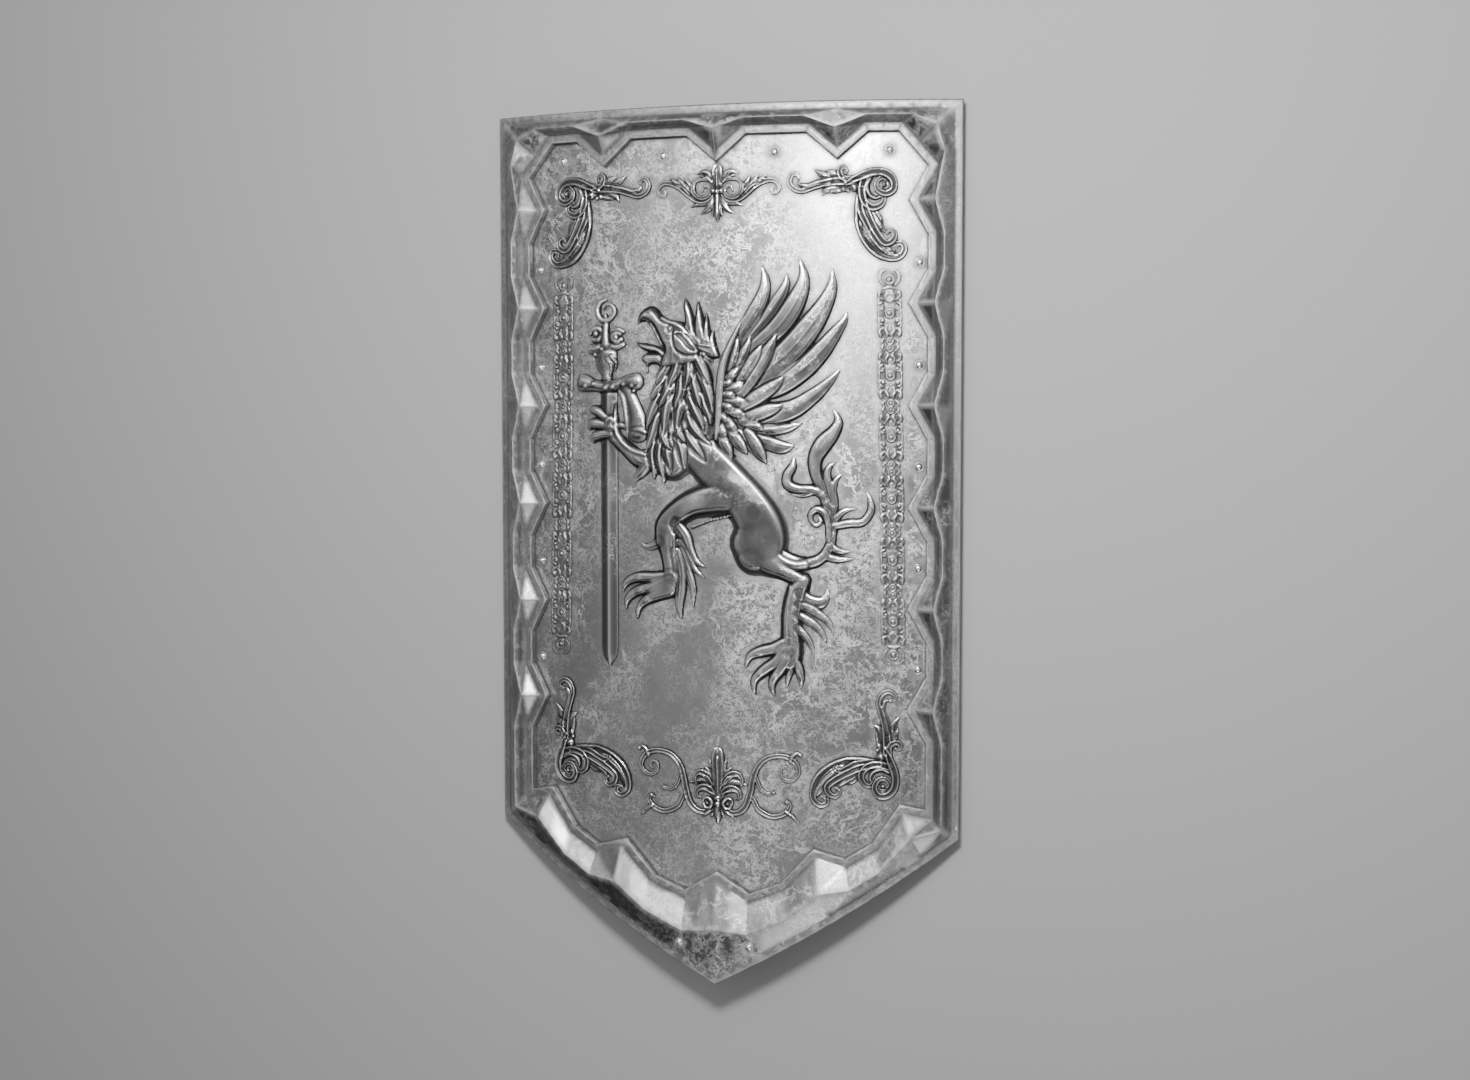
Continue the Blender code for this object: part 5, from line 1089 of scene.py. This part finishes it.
def rolled_sheet():
    """A grid of u and v in millimetres; its last row follows the foot of the measured plate."""
    low = places_of("shield_plate")
    drawn_u, drawn_v, _ = off_shield(low)
    bottom = drawn_v / MM < -0.9 * (HEIGHT - POINT_DEPTH) / MM
    for name in nodes:
        if name.startswith("rivet_point"):
            x, y, _ = places_of(name).mean(axis=0)
            bottom &= np.hypot(low[:, 0] - x, low[:, 1] - y) > TAIL_CLEARANCE
    order = np.argsort(drawn_u[bottom])
    half = HALF_GIRTH / MM - SHEET / MM - EDGE_GAP
    columns = np.linspace(-half, half, int(2 * half / SHEET_PITCH))
    foot = np.interp(columns, drawn_u[bottom][order] / MM, drawn_v[bottom][order] / MM)
    way = np.linspace(0, 1, int(HEIGHT / MM / SHEET_PITCH))[:, None]
    top = -SHEET / MM - EDGE_GAP
    return np.broadcast_to(columns, (len(way), len(columns))).copy(), top + way * (foot - top)


def on_sheet(h):
    """Places of the sheet's grid at one height, or at a grid of heights, in metres."""
    return on_shield(sheet_u * MM, sheet_v * MM, h + np.zeros(sheet_u.shape))


sheet_u, sheet_v = rolled_sheet()
border = BVHTree.FromPolygons([v.co[:] for v in nodes["border_frame"].data.vertices],
                              [p.vertices[:] for p in nodes["border_frame"].data.polygons])
sight = on_sheet(-FIELD_DEPTH + 0.0001)
outward = on_sheet(0.2) - sight
outward /= np.linalg.norm(outward, axis=-1, keepdims=True)
under = np.array([border.ray_cast(Vector(p), Vector(d))[0] is not None
                  for p, d in zip(sight.reshape(-1, 3), outward.reshape(-1, 3))]).reshape(sheet_u.shape)
print("share of the sheet under the frame:", round(float(under.mean()), 2))

# %% The sheet's front, with its marks, and its plain back
# A ring of painted shade round each rivet: its reach and fade in millimetres, and how dark it is.
RING_REACH, RING_FADE, RING_SHADE = 12.0, 4.0, 0.9
BACK_STEP = 8


def grid_faces(rows, columns, first=0):
    number = first + np.arange(rows * columns).reshape(rows, columns)
    return np.stack([number[:-1, :-1], number[1:, :-1], number[1:, 1:], number[:-1, 1:]], -1).reshape(-1, 4)


# Painted shade on the sheet: dark where a casting or the frame covers it, fading out past their edges.
cover_and_rings = np.maximum(covered_by_castings(sheet_u, sheet_v), under)
for name in nodes:
    if "rivet" in name:
        at_u, at_v, _ = off_shield([places_of(name).mean(axis=0)])
        away = np.hypot(sheet_u - at_u / MM, sheet_v - at_v / MM)
        cover_and_rings = np.maximum(cover_and_rings, np.clip((RING_REACH - away) / RING_FADE, 0, 1) * RING_SHADE)
grime = np.clip(0.9 * blurred(cover_and_rings, 1) + 0.12 * blurred(cover_and_rings, 4), 0, 1)
front = on_sheet((soft_waves(sheet_u, sheet_v) * (1 - 0.8 * blurred(cover_and_rings, 3))) * MM - FIELD_DEPTH)
behind = on_sheet(-FIELD_DEPTH - SHEET)
rows, columns = sheet_u.shape
down, right = (np.unique(np.append(np.arange(0, count, BACK_STEP), count - 1)) for count in (rows, columns))
back = behind[np.ix_(down, right)]
number = np.arange(rows * columns).reshape(rows, columns)
rim = np.concatenate([number[0, :-1], number[:-1, -1], number[-1, :0:-1], number[:0:-1, 0]])
foot = rows * columns + back.shape[0] * back.shape[1] + np.arange(len(rim))
points = np.vstack([front.reshape(-1, 3), back.reshape(-1, 3), behind.reshape(-1, 3)[rim]])
faces = np.vstack([grid_faces(rows, columns), grid_faces(*back.shape[:2], rows * columns)[:, ::-1],
                   np.stack([rim, np.roll(rim, -1), np.roll(foot, -1), foot], -1)])
back_grime = np.full(len(points) - rows * columns, 0.25)
sheet_mesh = mesh_of("shield_plate_rolled", points, faces, grime=np.append(grime.ravel(), back_grime),
                     wear=np.zeros(len(points)))
sheet = show("shield_plate_rolled", sheet_mesh, "shield_plate")
print("the sheet has", 2 * len(faces), "triangles")

# %% [markdown]
# ## The pressed frame
#
# The frame is thicker sheet, pressed over a form and folded round the plate. Its shape is right in
# the measured model, all flats and creases, but a pressed edge is never a knife edge. So the piece is
# the measured shape with every crease rounded by less than a millimetre, the flats cut finely enough
# to carry marks, and soft dents. Creases that stand out get a wear mark and creases that lie in get a
# mark of painted shade, by how near each point is to the nearest one.

# %% Creases of a measured shape
def welded(node):
    """A measured solid as one skin, without the cuts across its flats."""
    shape = bmesh.new()
    shape.from_mesh(nodes[node].data)
    bmesh.ops.remove_doubles(shape, verts=shape.verts, dist=0.00002)
    bmesh.ops.dissolve_limit(shape, angle_limit=radians(0.5), verts=shape.verts, edges=shape.edges)
    return shape


def creases(shape, least):
    """Edges that stand out and edges that lie in, by more than an angle."""
    out, inward = [], []
    for edge in shape.edges:
        if len(edge.link_faces) == 2 and edge.calc_face_angle(0) > radians(least):
            (out if edge.calc_face_angle_signed(0) > 0 else inward).append(edge)
    return out, inward


def tree_along(edges, spacing=0.003):
    """A search tree over points spaced along edges, in metres."""
    samples = []
    for edge in edges:
        a, b = edge.verts[0].co, edge.verts[1].co
        steps = max(1, int((b - a).length / spacing))
        samples += [a.lerp(b, k / steps) for k in range(steps + 1)]
    tree = KDTree(len(samples))
    for index, place in enumerate(samples):
        tree.insert(place, index)
    tree.balance()
    return tree


# %% Round the creases and cut the flats finely
# How far wear reaches from creases that stand out, and painted shade from creases that lie in, in metres.
WEAR_REACH, CREASE_SHADE_REACH = 0.0013, 0.0035


def softened(node, bevel, longest, least=22):
    """A detailed mesh of a measured solid with no edge over the longest, its wear, and painted shade along
    its creases that lie in.
    """
    shape = welded(node)
    out, inward = creases(shape, least)
    near_out, near_in = tree_along(out), tree_along(inward)
    bmesh.ops.bevel(shape, geom=out + inward, offset=bevel, segments=2, profile=0.5, affect="EDGES",
                    clamp_overlap=False)
    bmesh.ops.triangulate(shape, faces=shape.faces)
    for _ in range(5):
        long = [edge for edge in shape.edges if edge.calc_length() > longest]
        if not long:
            break
        bmesh.ops.subdivide_edges(shape, edges=long, cuts=1)
        bmesh.ops.triangulate(shape, faces=[f for f in shape.faces if len(f.verts) > 3])
    mesh = bpy.data.meshes.new(node + "_softened")
    shape.to_mesh(mesh)
    shape.free()
    mesh.validate()
    wear = [np.exp(-(near_out.find(v.co)[2] / WEAR_REACH) ** 2) for v in mesh.vertices]
    # Creases that lie in get painted shade.
    grime = [0.8 * np.exp(-(near_in.find(v.co)[2] / CREASE_SHADE_REACH) ** 2) for v in mesh.vertices]
    return mesh, np.array(wear), np.array(grime)


frame_mesh, frame_wear, frame_grime = softened("border_frame", bevel=0.0007, longest=0.0102)
spots = np.array([v.co[:] for v in frame_mesh.vertices])
level = off_shield(spots)[2]
inner = (np.abs(spots[:, 0]) < HALF_GIRTH - 0.03) | (spots[:, 1] > 0)
# The frame also gets painted shade where it comes down to the sheet.
frame_grime = np.maximum(frame_grime, np.where(inner, np.exp(-((level + FIELD_DEPTH) / 0.004) ** 2), 0))
mark_points(frame_mesh, wear=frame_wear, grime=frame_grime)
pressed_frame = show("border_frame_pressed", frame_mesh, "border_frame", crease=32)
print("the frame has", len(frame_mesh.polygons), "triangles")

# %% [markdown]
# Where the frame meets the sheet, a thin line of painted shadow darkens the sheet. The joint is
# already in the measured frame: it is every crease that lies at the sheet's own level. A darker mark
# of painted shadow beside it costs nothing and fades by itself.

# %% Painted shadow in the joint between frame and sheet
JOINT_REACH, JOINT_SHADE = 0.0028, 0.85


def in_the_joint(edge):
    """Whether both ends lie at the sheet's level, inside the rim."""
    ends = np.array([v.co[:] for v in edge.verts])
    level = off_shield(ends)[2] + FIELD_DEPTH
    return all(np.abs(level) < 0.001) and all(np.abs(ends[:, 0]) < HALF_GIRTH - 0.01)


measured_frame = welded("border_frame")
joint = [edge for edge in sum(creases(measured_frame, 22), []) if in_the_joint(edge)]
near_joint = tree_along(joint)
print("the joint is", round(sum(edge.calc_length() for edge in joint), 2), "m long")
measured_frame.free()
dirt_and_shade = sheet_mesh.attributes["grime"].data
values = np.zeros(len(dirt_and_shade), np.float32)
dirt_and_shade.foreach_get("value", values)
away = np.array([near_joint.find(v.co)[2] for v in sheet_mesh.vertices])
# Painted shadow beside the joint, fading with distance from it.
values = np.maximum(values, JOINT_SHADE * np.exp(-(away / JOINT_REACH) ** 2))
dirt_and_shade.foreach_set("value", values.astype(np.float32))

# %% [markdown]
# ## Rivets
#
# Each rivet is a turned shape: a small flange, a groove darkened with painted shade, a dome hammered
# almost round and, behind the sheet, the end of its shank beaten flat. Turning one profile gives all
# of it. The measured solid says where the rivet is and which way it faces: a turned solid spreads
# equally in two directions, and its axis is the third.

# %% A turned rivet
# Distance from the axis and height above the seat, in millimetres; the tail's heights are its own.
RIVET_HEAD = ((0.0, 3.8), (1.8, 3.62), (3.2, 3.1), (4.3, 2.3), (4.95, 1.4), (5.15, 0.85), (5.4, 0.7),
              (5.65, 0.9), (5.95, 0.95), (6.2, 0.75), (6.4, 0.35), (6.4, 0.0), (3.0, 0.0))
RIVET_TAIL = ((3.0, 1.2), (4.8, 1.2), (4.75, 0.7), (4.2, 0.25), (2.6, 0.04), (0.0, 0.0))
RIVET_SIDES = 40
HEAD_RISE = RIVET_HEAD[0][1]


def rivet_mesh(name, lowest):
    """Head, shank and hammered tail; lowest is how far the tail ends below the seat, in mm."""
    profile = np.array(RIVET_HEAD + tuple((reach, rise - lowest) for reach, rise in RIVET_TAIL))
    turns = np.arange(RIVET_SIDES) * 2 * pi / RIVET_SIDES
    reach, rise = profile[:, :1], profile[:, 1:]
    hammered = reach * (1 + 0.02 * np.sin(3 * turns + 0.7) * (rise > 1))
    flat = 0 * turns
    points = np.stack([hammered * np.cos(turns), hammered * np.sin(turns), rise + flat], -1) * MM
    number = np.arange(len(profile) * RIVET_SIDES).reshape(-1, RIVET_SIDES)
    low, high = number[:-1], number[1:]
    faces = np.stack([low, high, np.roll(high, -1, 1), np.roll(low, -1, 1)], -1).reshape(-1, 4)
    # Painted shade in the groove by the flange, at the foot and on the tail.
    dirt_and_shade = 0.8 * np.exp(-((reach - 5.3) / 0.35) ** 2) * (rise > 0) + 0.5 * (rise < 0.2)
    bright_spot = np.clip((rise - 2.2) / 1.6, 0, 1)
    return mesh_of(name, points.reshape(-1, 3), faces, grime=np.clip(dirt_and_shade + flat, 0, 1).ravel(),
                   wear=(bright_spot + flat).ravel())


# %% Set a rivet in every measured place
def seat_of(node):
    """Matrix that stands an upright rivet in a measured one's place, and that one's depth in mm."""
    spots = np.unique(np.round(places_of(node), 6), axis=0)
    middle = spots.mean(0)
    spread, axes = np.linalg.eigh(np.cov((spots - middle).T))
    lone = 0 if spread[1] - spread[0] > spread[2] - spread[1] else 2
    axis = Vector(axes[:, lone])
    if axis.z < 0:
        axis.negate()
    along = [(Vector(p) - Vector(middle)).dot(axis) for p in spots]
    base = Vector(middle) + axis * (max(along) - HEAD_RISE * MM)
    upright = Matrix.Translation(base) @ axis.to_track_quat("Z", "Y").to_matrix().to_4x4()
    return upright, (max(along) - min(along)) / MM - HEAD_RISE


rivets = []
for node in sorted(name for name in nodes if name.startswith("rivet_")):
    upright, lowest = seat_of(node)
    mesh = rivet_mesh(node + "_turned", lowest)
    mesh.transform(upright)
    rivets.append(show(node + "_turned", mesh, node, crease=50))
print("rivets set:", len(rivets))

# %% [markdown]
# ## The hand grip
#
# The photograph doesn't show the back, so this is what such a shield has: a bent round bar with flat
# ends, forged from one piece. It could be swept anew along a curve, but the measured shape is right
# already, so it is softened in the way that the frame was.

# %% Round the grip
grip_mesh, grip_wear, grip_grime = softened("hand_grip", bevel=0.0009, longest=0.006, least=30)
mark_points(grip_mesh, wear=grip_wear, grime=grip_grime)
grip = show("hand_grip_forged", grip_mesh, "hand_grip", crease=50)
print("the grip has", len(grip_mesh.polygons), "triangles")

# %% [markdown]
# ## Worn steel
#
# Old bright steel is not one grey. Where it was wiped it is dark and smooth, and where damp has sat on
# it and been rubbed off again it is pale, matt and feathered at the edges, like the veins in marble.
# One node group makes those patches, a second one makes fine scratches, and every steel here uses
# both with its own values. They put out masks only, and each material does its own shading.

# %% Small helpers for node trees
def new_group(name, inputs, outputs):
    group = bpy.data.node_groups.new(name, "ShaderNodeTree")
    for label, kind, value in inputs:
        socket = group.interface.new_socket(label, in_out="INPUT", socket_type=kind)
        if value is not None:
            socket.default_value = value
    for label, kind in outputs:
        group.interface.new_socket(label, in_out="OUTPUT", socket_type=kind)
    return group, group.nodes.new("NodeGroupInput"), group.nodes.new("NodeGroupOutput")


def link(tree, source, target):
    tree.links.new(source, target)


def noise(tree, vector, scale, detail=8.0, roughness=0.6, distortion=0.0):
    node = tree.nodes.new("ShaderNodeTexNoise")
    node.inputs["Scale"].default_value = scale
    node.inputs["Detail"].default_value = detail
    node.inputs["Roughness"].default_value = roughness
    node.inputs["Distortion"].default_value = distortion
    link(tree, vector, node.inputs["Vector"])
    return node.outputs["Fac"]


def between(tree, value, low, high, to_low=0.0, to_high=1.0):
    """A soft step: to_low below low, to_high above high."""
    node = tree.nodes.new("ShaderNodeMapRange")
    node.interpolation_type = "SMOOTHSTEP"
    for label, number in (("From Min", low), ("From Max", high), ("To Min", to_low), ("To Max", to_high)):
        node.inputs[label].default_value = number
    link(tree, value, node.inputs["Value"])
    return node.outputs["Result"]


def feed(tree, value, target):
    """Links a socket, or sets a plain number or colour."""
    if hasattr(value, "type"):
        link(tree, value, target)
    else:
        target.default_value = value


def maths(tree, kind, *values):
    node = tree.nodes.new("ShaderNodeMath")
    node.operation = kind
    for value, target in zip(values, node.inputs):
        feed(tree, value, target)
    return node.outputs[0]


def mixed(tree, share, a, b):
    """Colours or numbers, a where share is 0 and b where it is 1."""
    node = tree.nodes.new("ShaderNodeMix")
    numbers = any(isinstance(x, (int, float)) or getattr(x, "type", "") == "VALUE" for x in (a, b))
    node.data_type = "FLOAT" if numbers else "RGBA"
    first, second, result = (2, 3, 0) if numbers else (6, 7, 2)
    link(tree, share, node.inputs[0])
    feed(tree, a, node.inputs[first])
    feed(tree, b, node.inputs[second])
    return node.outputs[result]


# %% Marbled wear: pale feathered patches and thin veins
def pale_threads(tree, place, more, scale, detail, sharpness, gathered, spread):
    """Crinkled pale lines where a noise passes its middle, gathered in drifts."""
    ground = noise(tree, place, scale, detail, 0.70, 0.3)
    off_middle = maths(tree, "ABSOLUTE", maths(tree, "MULTIPLY_ADD", ground, 2.0, -1.0))
    ridge = maths(tree, "SUBTRACT", 1.0, off_middle)
    drift = maths(tree, "ADD", noise(tree, place, spread, 4.0, 0.6), more)
    return maths(tree, "MULTIPLY", between(tree, ridge, *sharpness), between(tree, drift, *gathered))


def marbling_group():
    group, start, end = new_group(
        "marbled_wear", (("Vector", "NodeSocketVector", None), ("Amount", "NodeSocketFloat", 0.5)),
        (("Patches", "NodeSocketFloat"), ("Clouds", "NodeSocketFloat"), ("Grain", "NodeSocketFloat")))
    place = start.outputs["Vector"]
    more = maths(group, "MULTIPLY_ADD", start.outputs["Amount"], 0.2, -0.1)
    veins = pale_threads(group, place, more, 13.0, 13.0, (0.976, 0.994), (0.42, 0.56), 6.0)
    net = pale_threads(group, place, more, 38.0, 12.0, (0.974, 0.994), (0.38, 0.58), 9.0)
    crazing = pale_threads(group, place, more, 110.0, 10.0, (0.968, 0.994), (0.34, 0.60), 16.0)
    speckle = noise(group, place, 260.0, 6.0, 0.80, 0.3)
    speckle = maths(group, "ADD", speckle, maths(group, "MULTIPLY", more, 0.3))
    where = between(group, maths(group, "ADD", noise(group, place, 30.0, 12.0, 0.80), more), 0.44, 0.68)
    bloom = maths(group, "MULTIPLY", between(group, speckle, 0.49, 0.62), where)
    fine = maths(group, "MULTIPLY", maths(group, "MAXIMUM", net, crazing), 0.9)
    patches = maths(group, "MAXIMUM", veins, fine)
    patches = maths(group, "MAXIMUM", patches, maths(group, "MULTIPLY", bloom, 0.32))
    link(group, patches, end.inputs["Patches"])
    link(group, noise(group, place, 7.0, 8.0, 0.6), end.inputs["Clouds"])
    link(group, noise(group, place, 420.0, 3.0, 0.6), end.inputs["Grain"])
    return group


# %% Fine scratches in three directions
def scratches_group():
    group, start, end = new_group("fine_scratches", (("Vector", "NodeSocketVector", None),),
                                  (("Scratches", "NodeSocketFloat"),))
    found = []
    for turn, length in ((0.5, 9.0), (-0.9, 14.0), (1.9, 11.0)):
        mapping = group.nodes.new("ShaderNodeMapping")
        mapping.inputs["Rotation"].default_value = (0, 0, turn)
        mapping.inputs["Scale"].default_value = (900.0, length, 60.0)
        link(group, start.outputs["Vector"], mapping.inputs["Vector"])
        found.append(between(group, noise(group, mapping.outputs[0], 1.0, 2.0, 0.5), 0.66, 0.74))
    patchy = between(group, noise(group, start.outputs["Vector"], 9.0, 3.0, 0.5), 0.45, 0.62)
    all_three = maths(group, "MAXIMUM", maths(group, "MAXIMUM", found[0], found[1]), found[2])
    link(group, maths(group, "MULTIPLY", all_three, patchy), end.inputs["Scratches"])
    return group


marbling, scratching = marbling_group(), scratches_group()
print("groups:", marbling.name, scratching.name)

# %% [markdown]
# A steel is then eight numbers: three greys for clean, rubbed and dirty metal, the dirty one also
# used for painted shade, how rough the smooth and the matt parts are, how much marbling it has, how
# bright its worn edges and painted highlights are, and how deep its fine relief is. Grime and painted
# shade are dark and dull, wear and painted highlights are bright and smooth, and fine grain breaks
# both up so that no edge is even.

# %% One recipe for every steel
# The grey of polished wear and of the painted highlights.
POLISHED_AND_HIGHLIT = (0.86, 0.86, 0.85, 1.0)
# Wear and painted highlights are smooth; dirt and painted shade are dull and less metallic.
WORN_AND_HIGHLIT_ROUGHNESS, DIRT_AND_SHADE_ROUGHNESS = 0.22, 0.75
DIRT_AND_SHADE_METALLIC = 0.35
RELIEF_DEPTH = 0.0006


def grey(value):
    return (value, value, value, 1.0)


def placed_group(tree, group, place):
    node = tree.nodes.new("ShaderNodeGroup")
    node.node_tree = group
    link(tree, place, node.inputs["Vector"])
    return node


def point_mark(tree, mark):
    node = tree.nodes.new("ShaderNodeAttribute")
    node.attribute_name = mark
    return node.outputs["Fac"]


def steel(name, clean, rubbed_and_highlit, dirt_and_shade, smooth, matt, marbled, bright, relief=0.25):
    material = bpy.data.materials.new(name)
    material.use_nodes = True
    tree = material.node_tree
    shader = tree.nodes["Principled BSDF"]
    place = tree.nodes.new("ShaderNodeTexCoord").outputs["Object"]
    marble = placed_group(tree, marbling, place)
    marble.inputs["Amount"].default_value = marbled
    patches, clouds, grain = (marble.outputs[label] for label in ("Patches", "Clouds", "Grain"))
    scratches = placed_group(tree, scratching, place).outputs["Scratches"]
    uneven = between(tree, grain, 0.30, 0.62, 0.8, 1.0)
    # Wear with painted highlights, and dirt with painted shade, from the marks stored on the mesh.
    worn_and_highlit = maths(tree, "MULTIPLY", maths(tree, "MULTIPLY", point_mark(tree, "wear"), bright), uneven)
    soiled_and_shaded = maths(tree, "MULTIPLY", point_mark(tree, "grime"), uneven)

    colour = mixed(tree, between(tree, clouds, 0.36, 0.64), grey(0.80 * clean), grey(clean))
    colour = mixed(tree, maths(tree, "MULTIPLY", patches, 0.8), colour, grey(rubbed_and_highlit))
    colour = mixed(tree, maths(tree, "MULTIPLY", scratches, 0.35), colour, grey(rubbed_and_highlit))
    colour = mixed(tree, worn_and_highlit, colour, POLISHED_AND_HIGHLIT)
    link(tree, mixed(tree, soiled_and_shaded, colour, grey(dirt_and_shade)), shader.inputs["Base Color"])

    rough = mixed(tree, patches, smooth, matt)
    rough = mixed(tree, maths(tree, "MULTIPLY", worn_and_highlit, 0.6), rough, WORN_AND_HIGHLIT_ROUGHNESS)
    link(tree, mixed(tree, soiled_and_shaded, rough, DIRT_AND_SHADE_ROUGHNESS), shader.inputs["Roughness"])
    film_and_shade = maths(tree, "MULTIPLY", patches, 0.15)
    film_and_shade = maths(tree, "MAXIMUM", film_and_shade, maths(tree, "MULTIPLY", soiled_and_shaded, 0.7))
    link(tree, mixed(tree, film_and_shade, 1.0, DIRT_AND_SHADE_METALLIC), shader.inputs["Metallic"])
    shader.inputs["Specular IOR Level"].default_value = 0.0

    height = maths(tree, "ADD", maths(tree, "MULTIPLY", patches, 0.5), maths(tree, "MULTIPLY", grain, 0.35))
    height = maths(tree, "SUBTRACT", height, maths(tree, "MULTIPLY", scratches, 0.3))
    bump = tree.nodes.new("ShaderNodeBump")
    bump.inputs["Strength"].default_value = relief
    bump.inputs["Distance"].default_value = RELIEF_DEPTH
    link(tree, height, bump.inputs["Height"])
    link(tree, bump.outputs["Normal"], shader.inputs["Normal"])
    return material


# %% The seven steels of this shield
SHEET_STEEL = steel("marbled_sheet_steel", clean=0.29, rubbed_and_highlit=0.86, dirt_and_shade=0.04, smooth=0.26, matt=0.33,
                    marbled=0.42, bright=0.5)
FRAME_STEEL = steel("pressed_frame_steel", clean=0.27, rubbed_and_highlit=0.54, dirt_and_shade=0.025, smooth=0.31, matt=0.36,
                    marbled=0.34, bright=0.75)
CAST_STEEL = steel("cast_steel_dark", clean=0.115, rubbed_and_highlit=0.26, dirt_and_shade=0.005, smooth=0.21, matt=0.27,
                   marbled=0.16, bright=0.85, relief=0.22)
ORNAMENT_STEEL = steel("ornament_steel", clean=0.10, rubbed_and_highlit=0.22, dirt_and_shade=0.005, smooth=0.17, matt=0.26,
                       marbled=0.24, bright=0.62, relief=0.26)
BAND_STEEL = steel("band_steel_unpolished", clean=0.18, rubbed_and_highlit=0.38, dirt_and_shade=0.035, smooth=0.34, matt=0.44,
                   marbled=0.42, bright=0.22, relief=0.30)
RIVET_STEEL = steel("hammered_rivet_steel", clean=0.70, rubbed_and_highlit=0.85, dirt_and_shade=0.03, smooth=0.22, matt=0.40,
                    marbled=0.45, bright=0.7)
GRIP_STEEL = steel("forged_grip_steel", clean=0.14, rubbed_and_highlit=0.30, dirt_and_shade=0.02, smooth=0.42, matt=0.60,
                   marbled=0.40, bright=0.6, relief=0.4)


# %% Give every piece its steel
def finish_with(piece, material):
    piece.data.materials.clear()
    piece.data.materials.append(material)


finish_with(sheet, SHEET_STEEL)
finish_with(pressed_frame, FRAME_STEEL)
finish_with(grip, GRIP_STEEL)
for piece in castings:
    is_band, is_griffin = "band" in piece.name, "griffin" in piece.name
    finish_with(piece, BAND_STEEL if is_band else CAST_STEEL if is_griffin else ORNAMENT_STEEL)
for piece in rivets:
    finish_with(piece, RIVET_STEEL)
print("finished pieces:", 3 + len(castings) + len(rivets))

# %% [markdown]
# ## Floor, light and camera
#
# The shield lies on a pale studio floor. Polished metal shows the room more than its own colour, so
# the lights are six soft panels round a dim room. A small near one overhead makes the bright bloom by
# the top. A tall one at the right and a low one below catch the slopes that face them, and three
# large ones light the flats from above. The room itself has a soft bright strip over the shield's
# length, fading to the right, which the curved face shows as a broad gradient.

# %% A pale floor
def plain(name, colour, rough):
    material = bpy.data.materials.new(name)
    material.use_nodes = True
    shader = material.node_tree.nodes["Principled BSDF"]
    shader.inputs["Base Color"].default_value = colour
    shader.inputs["Roughness"].default_value = rough
    return material


FLOOR_REACH, FLOOR_DROP = 9, 0.0005
corners = [(side * FLOOR_REACH, end * FLOOR_REACH, 0) for side, end in ((-1, -1), (1, -1), (1, 1), (-1, 1))]
floor_mesh = bpy.data.meshes.new("studio_floor")
floor_mesh.from_pydata(corners, [], [(0, 1, 2, 3)])
floor = bpy.data.objects.new("studio_floor", floor_mesh)
bpy.context.scene.collection.objects.link(floor)
floor.location.z = -FLOOR_DROP
finish_with(floor, plain("pale_floor", grey(0.25), 0.8))


# %% Soft panels
# For each: where it stands, what it faces, its width and height in metres, and its power in watts.
PANELS = {
    "overhead_bloom": ((0.38, 0.84, 1.8), (0.2, 0.45, 0.0), 0.34, 0.32, 72),
    "tall_right_key": ((3.2, 0.9, 1.6), (0.0, 0.1, 0.0), 0.8, 3.0, 8),
    "low_fill": ((1.2, -2.8, 2.0), (0.1, 0.2, 0.0), 2.0, 0.9, 12),
    "wide_upper_softbox": ((-0.6, 1.5, 2.4), (-0.1, -0.45, 0.0), 2.4, 1.5, 21),
    "upper_right_softbox": ((0.95, 2.35, 2.85), (-0.25, 0.0, 0.0), 1.2, 1.4, 26),
    "lower_right_softbox": ((0.95, -2.6, 2.85), (-0.25, 0.0, 0.0), 1.2, 1.4, 30)}


def panel(name, place, target, width, height, power):
    light = bpy.data.lights.new(name, "AREA")
    light.shape = "RECTANGLE"
    light.size, light.size_y = width, height
    light.energy = power
    lamp = bpy.data.objects.new(name, light)
    lamp.location = place
    lamp.rotation_euler = (Vector(target) - Vector(place)).to_track_quat("-Z", "Y").to_euler()
    bpy.context.scene.collection.objects.link(lamp)


for name, row in PANELS.items():
    panel(name, *row)
print("panels:", len(PANELS))

# %% A dim room with a bright strip overhead
world = bpy.data.worlds.new("room_with_an_overhead_strip")
world.use_nodes = True
room = world.node_tree
heading = room.nodes.new("ShaderNodeSeparateXYZ")
link(room, room.nodes.new("ShaderNodeTexCoord").outputs["Generated"], heading.inputs[0])
across, along, _ = heading.outputs
from_middle = maths(room, "ABSOLUTE", maths(room, "SUBTRACT", along, 0.08))
from_middle = maths(room, "MULTIPLY_ADD", maths(room, "MAXIMUM", across, 0.0), -1.2, from_middle)
strip = between(room, from_middle, 0.28, 0.55, 1.0, 0.0)
for low, high, to_low, to_high in ((-0.95, -0.35, 0.30, 1.0), (-0.20, 0.50, 1.0, 0.15)):
    strip = maths(room, "MULTIPLY", strip, between(room, across, low, high, to_low, to_high))
background = room.nodes["Background"]
link(room, maths(room, "MULTIPLY_ADD", strip, 0.80, 0.022), background.inputs["Strength"])
background.inputs["Color"].default_value = (0.98, 0.99, 1.0, 1.0)
bpy.context.scene.world = world
print("the strip is", bpy.context.scene.world.name)

# %% The camera, where the photograph was taken from
view = bpy.data.cameras.new("photograph_view")
view.lens = 50.0
view.sensor_width = 36.0
camera = bpy.data.objects.new("photograph_view", view)
camera.location = (0.8020, 0.1895, 2.7202)
camera.rotation_euler = (radians(-3.6322), radians(16.2557), radians(-0.0263))
bpy.context.scene.collection.objects.link(camera)
bpy.context.scene.camera = camera
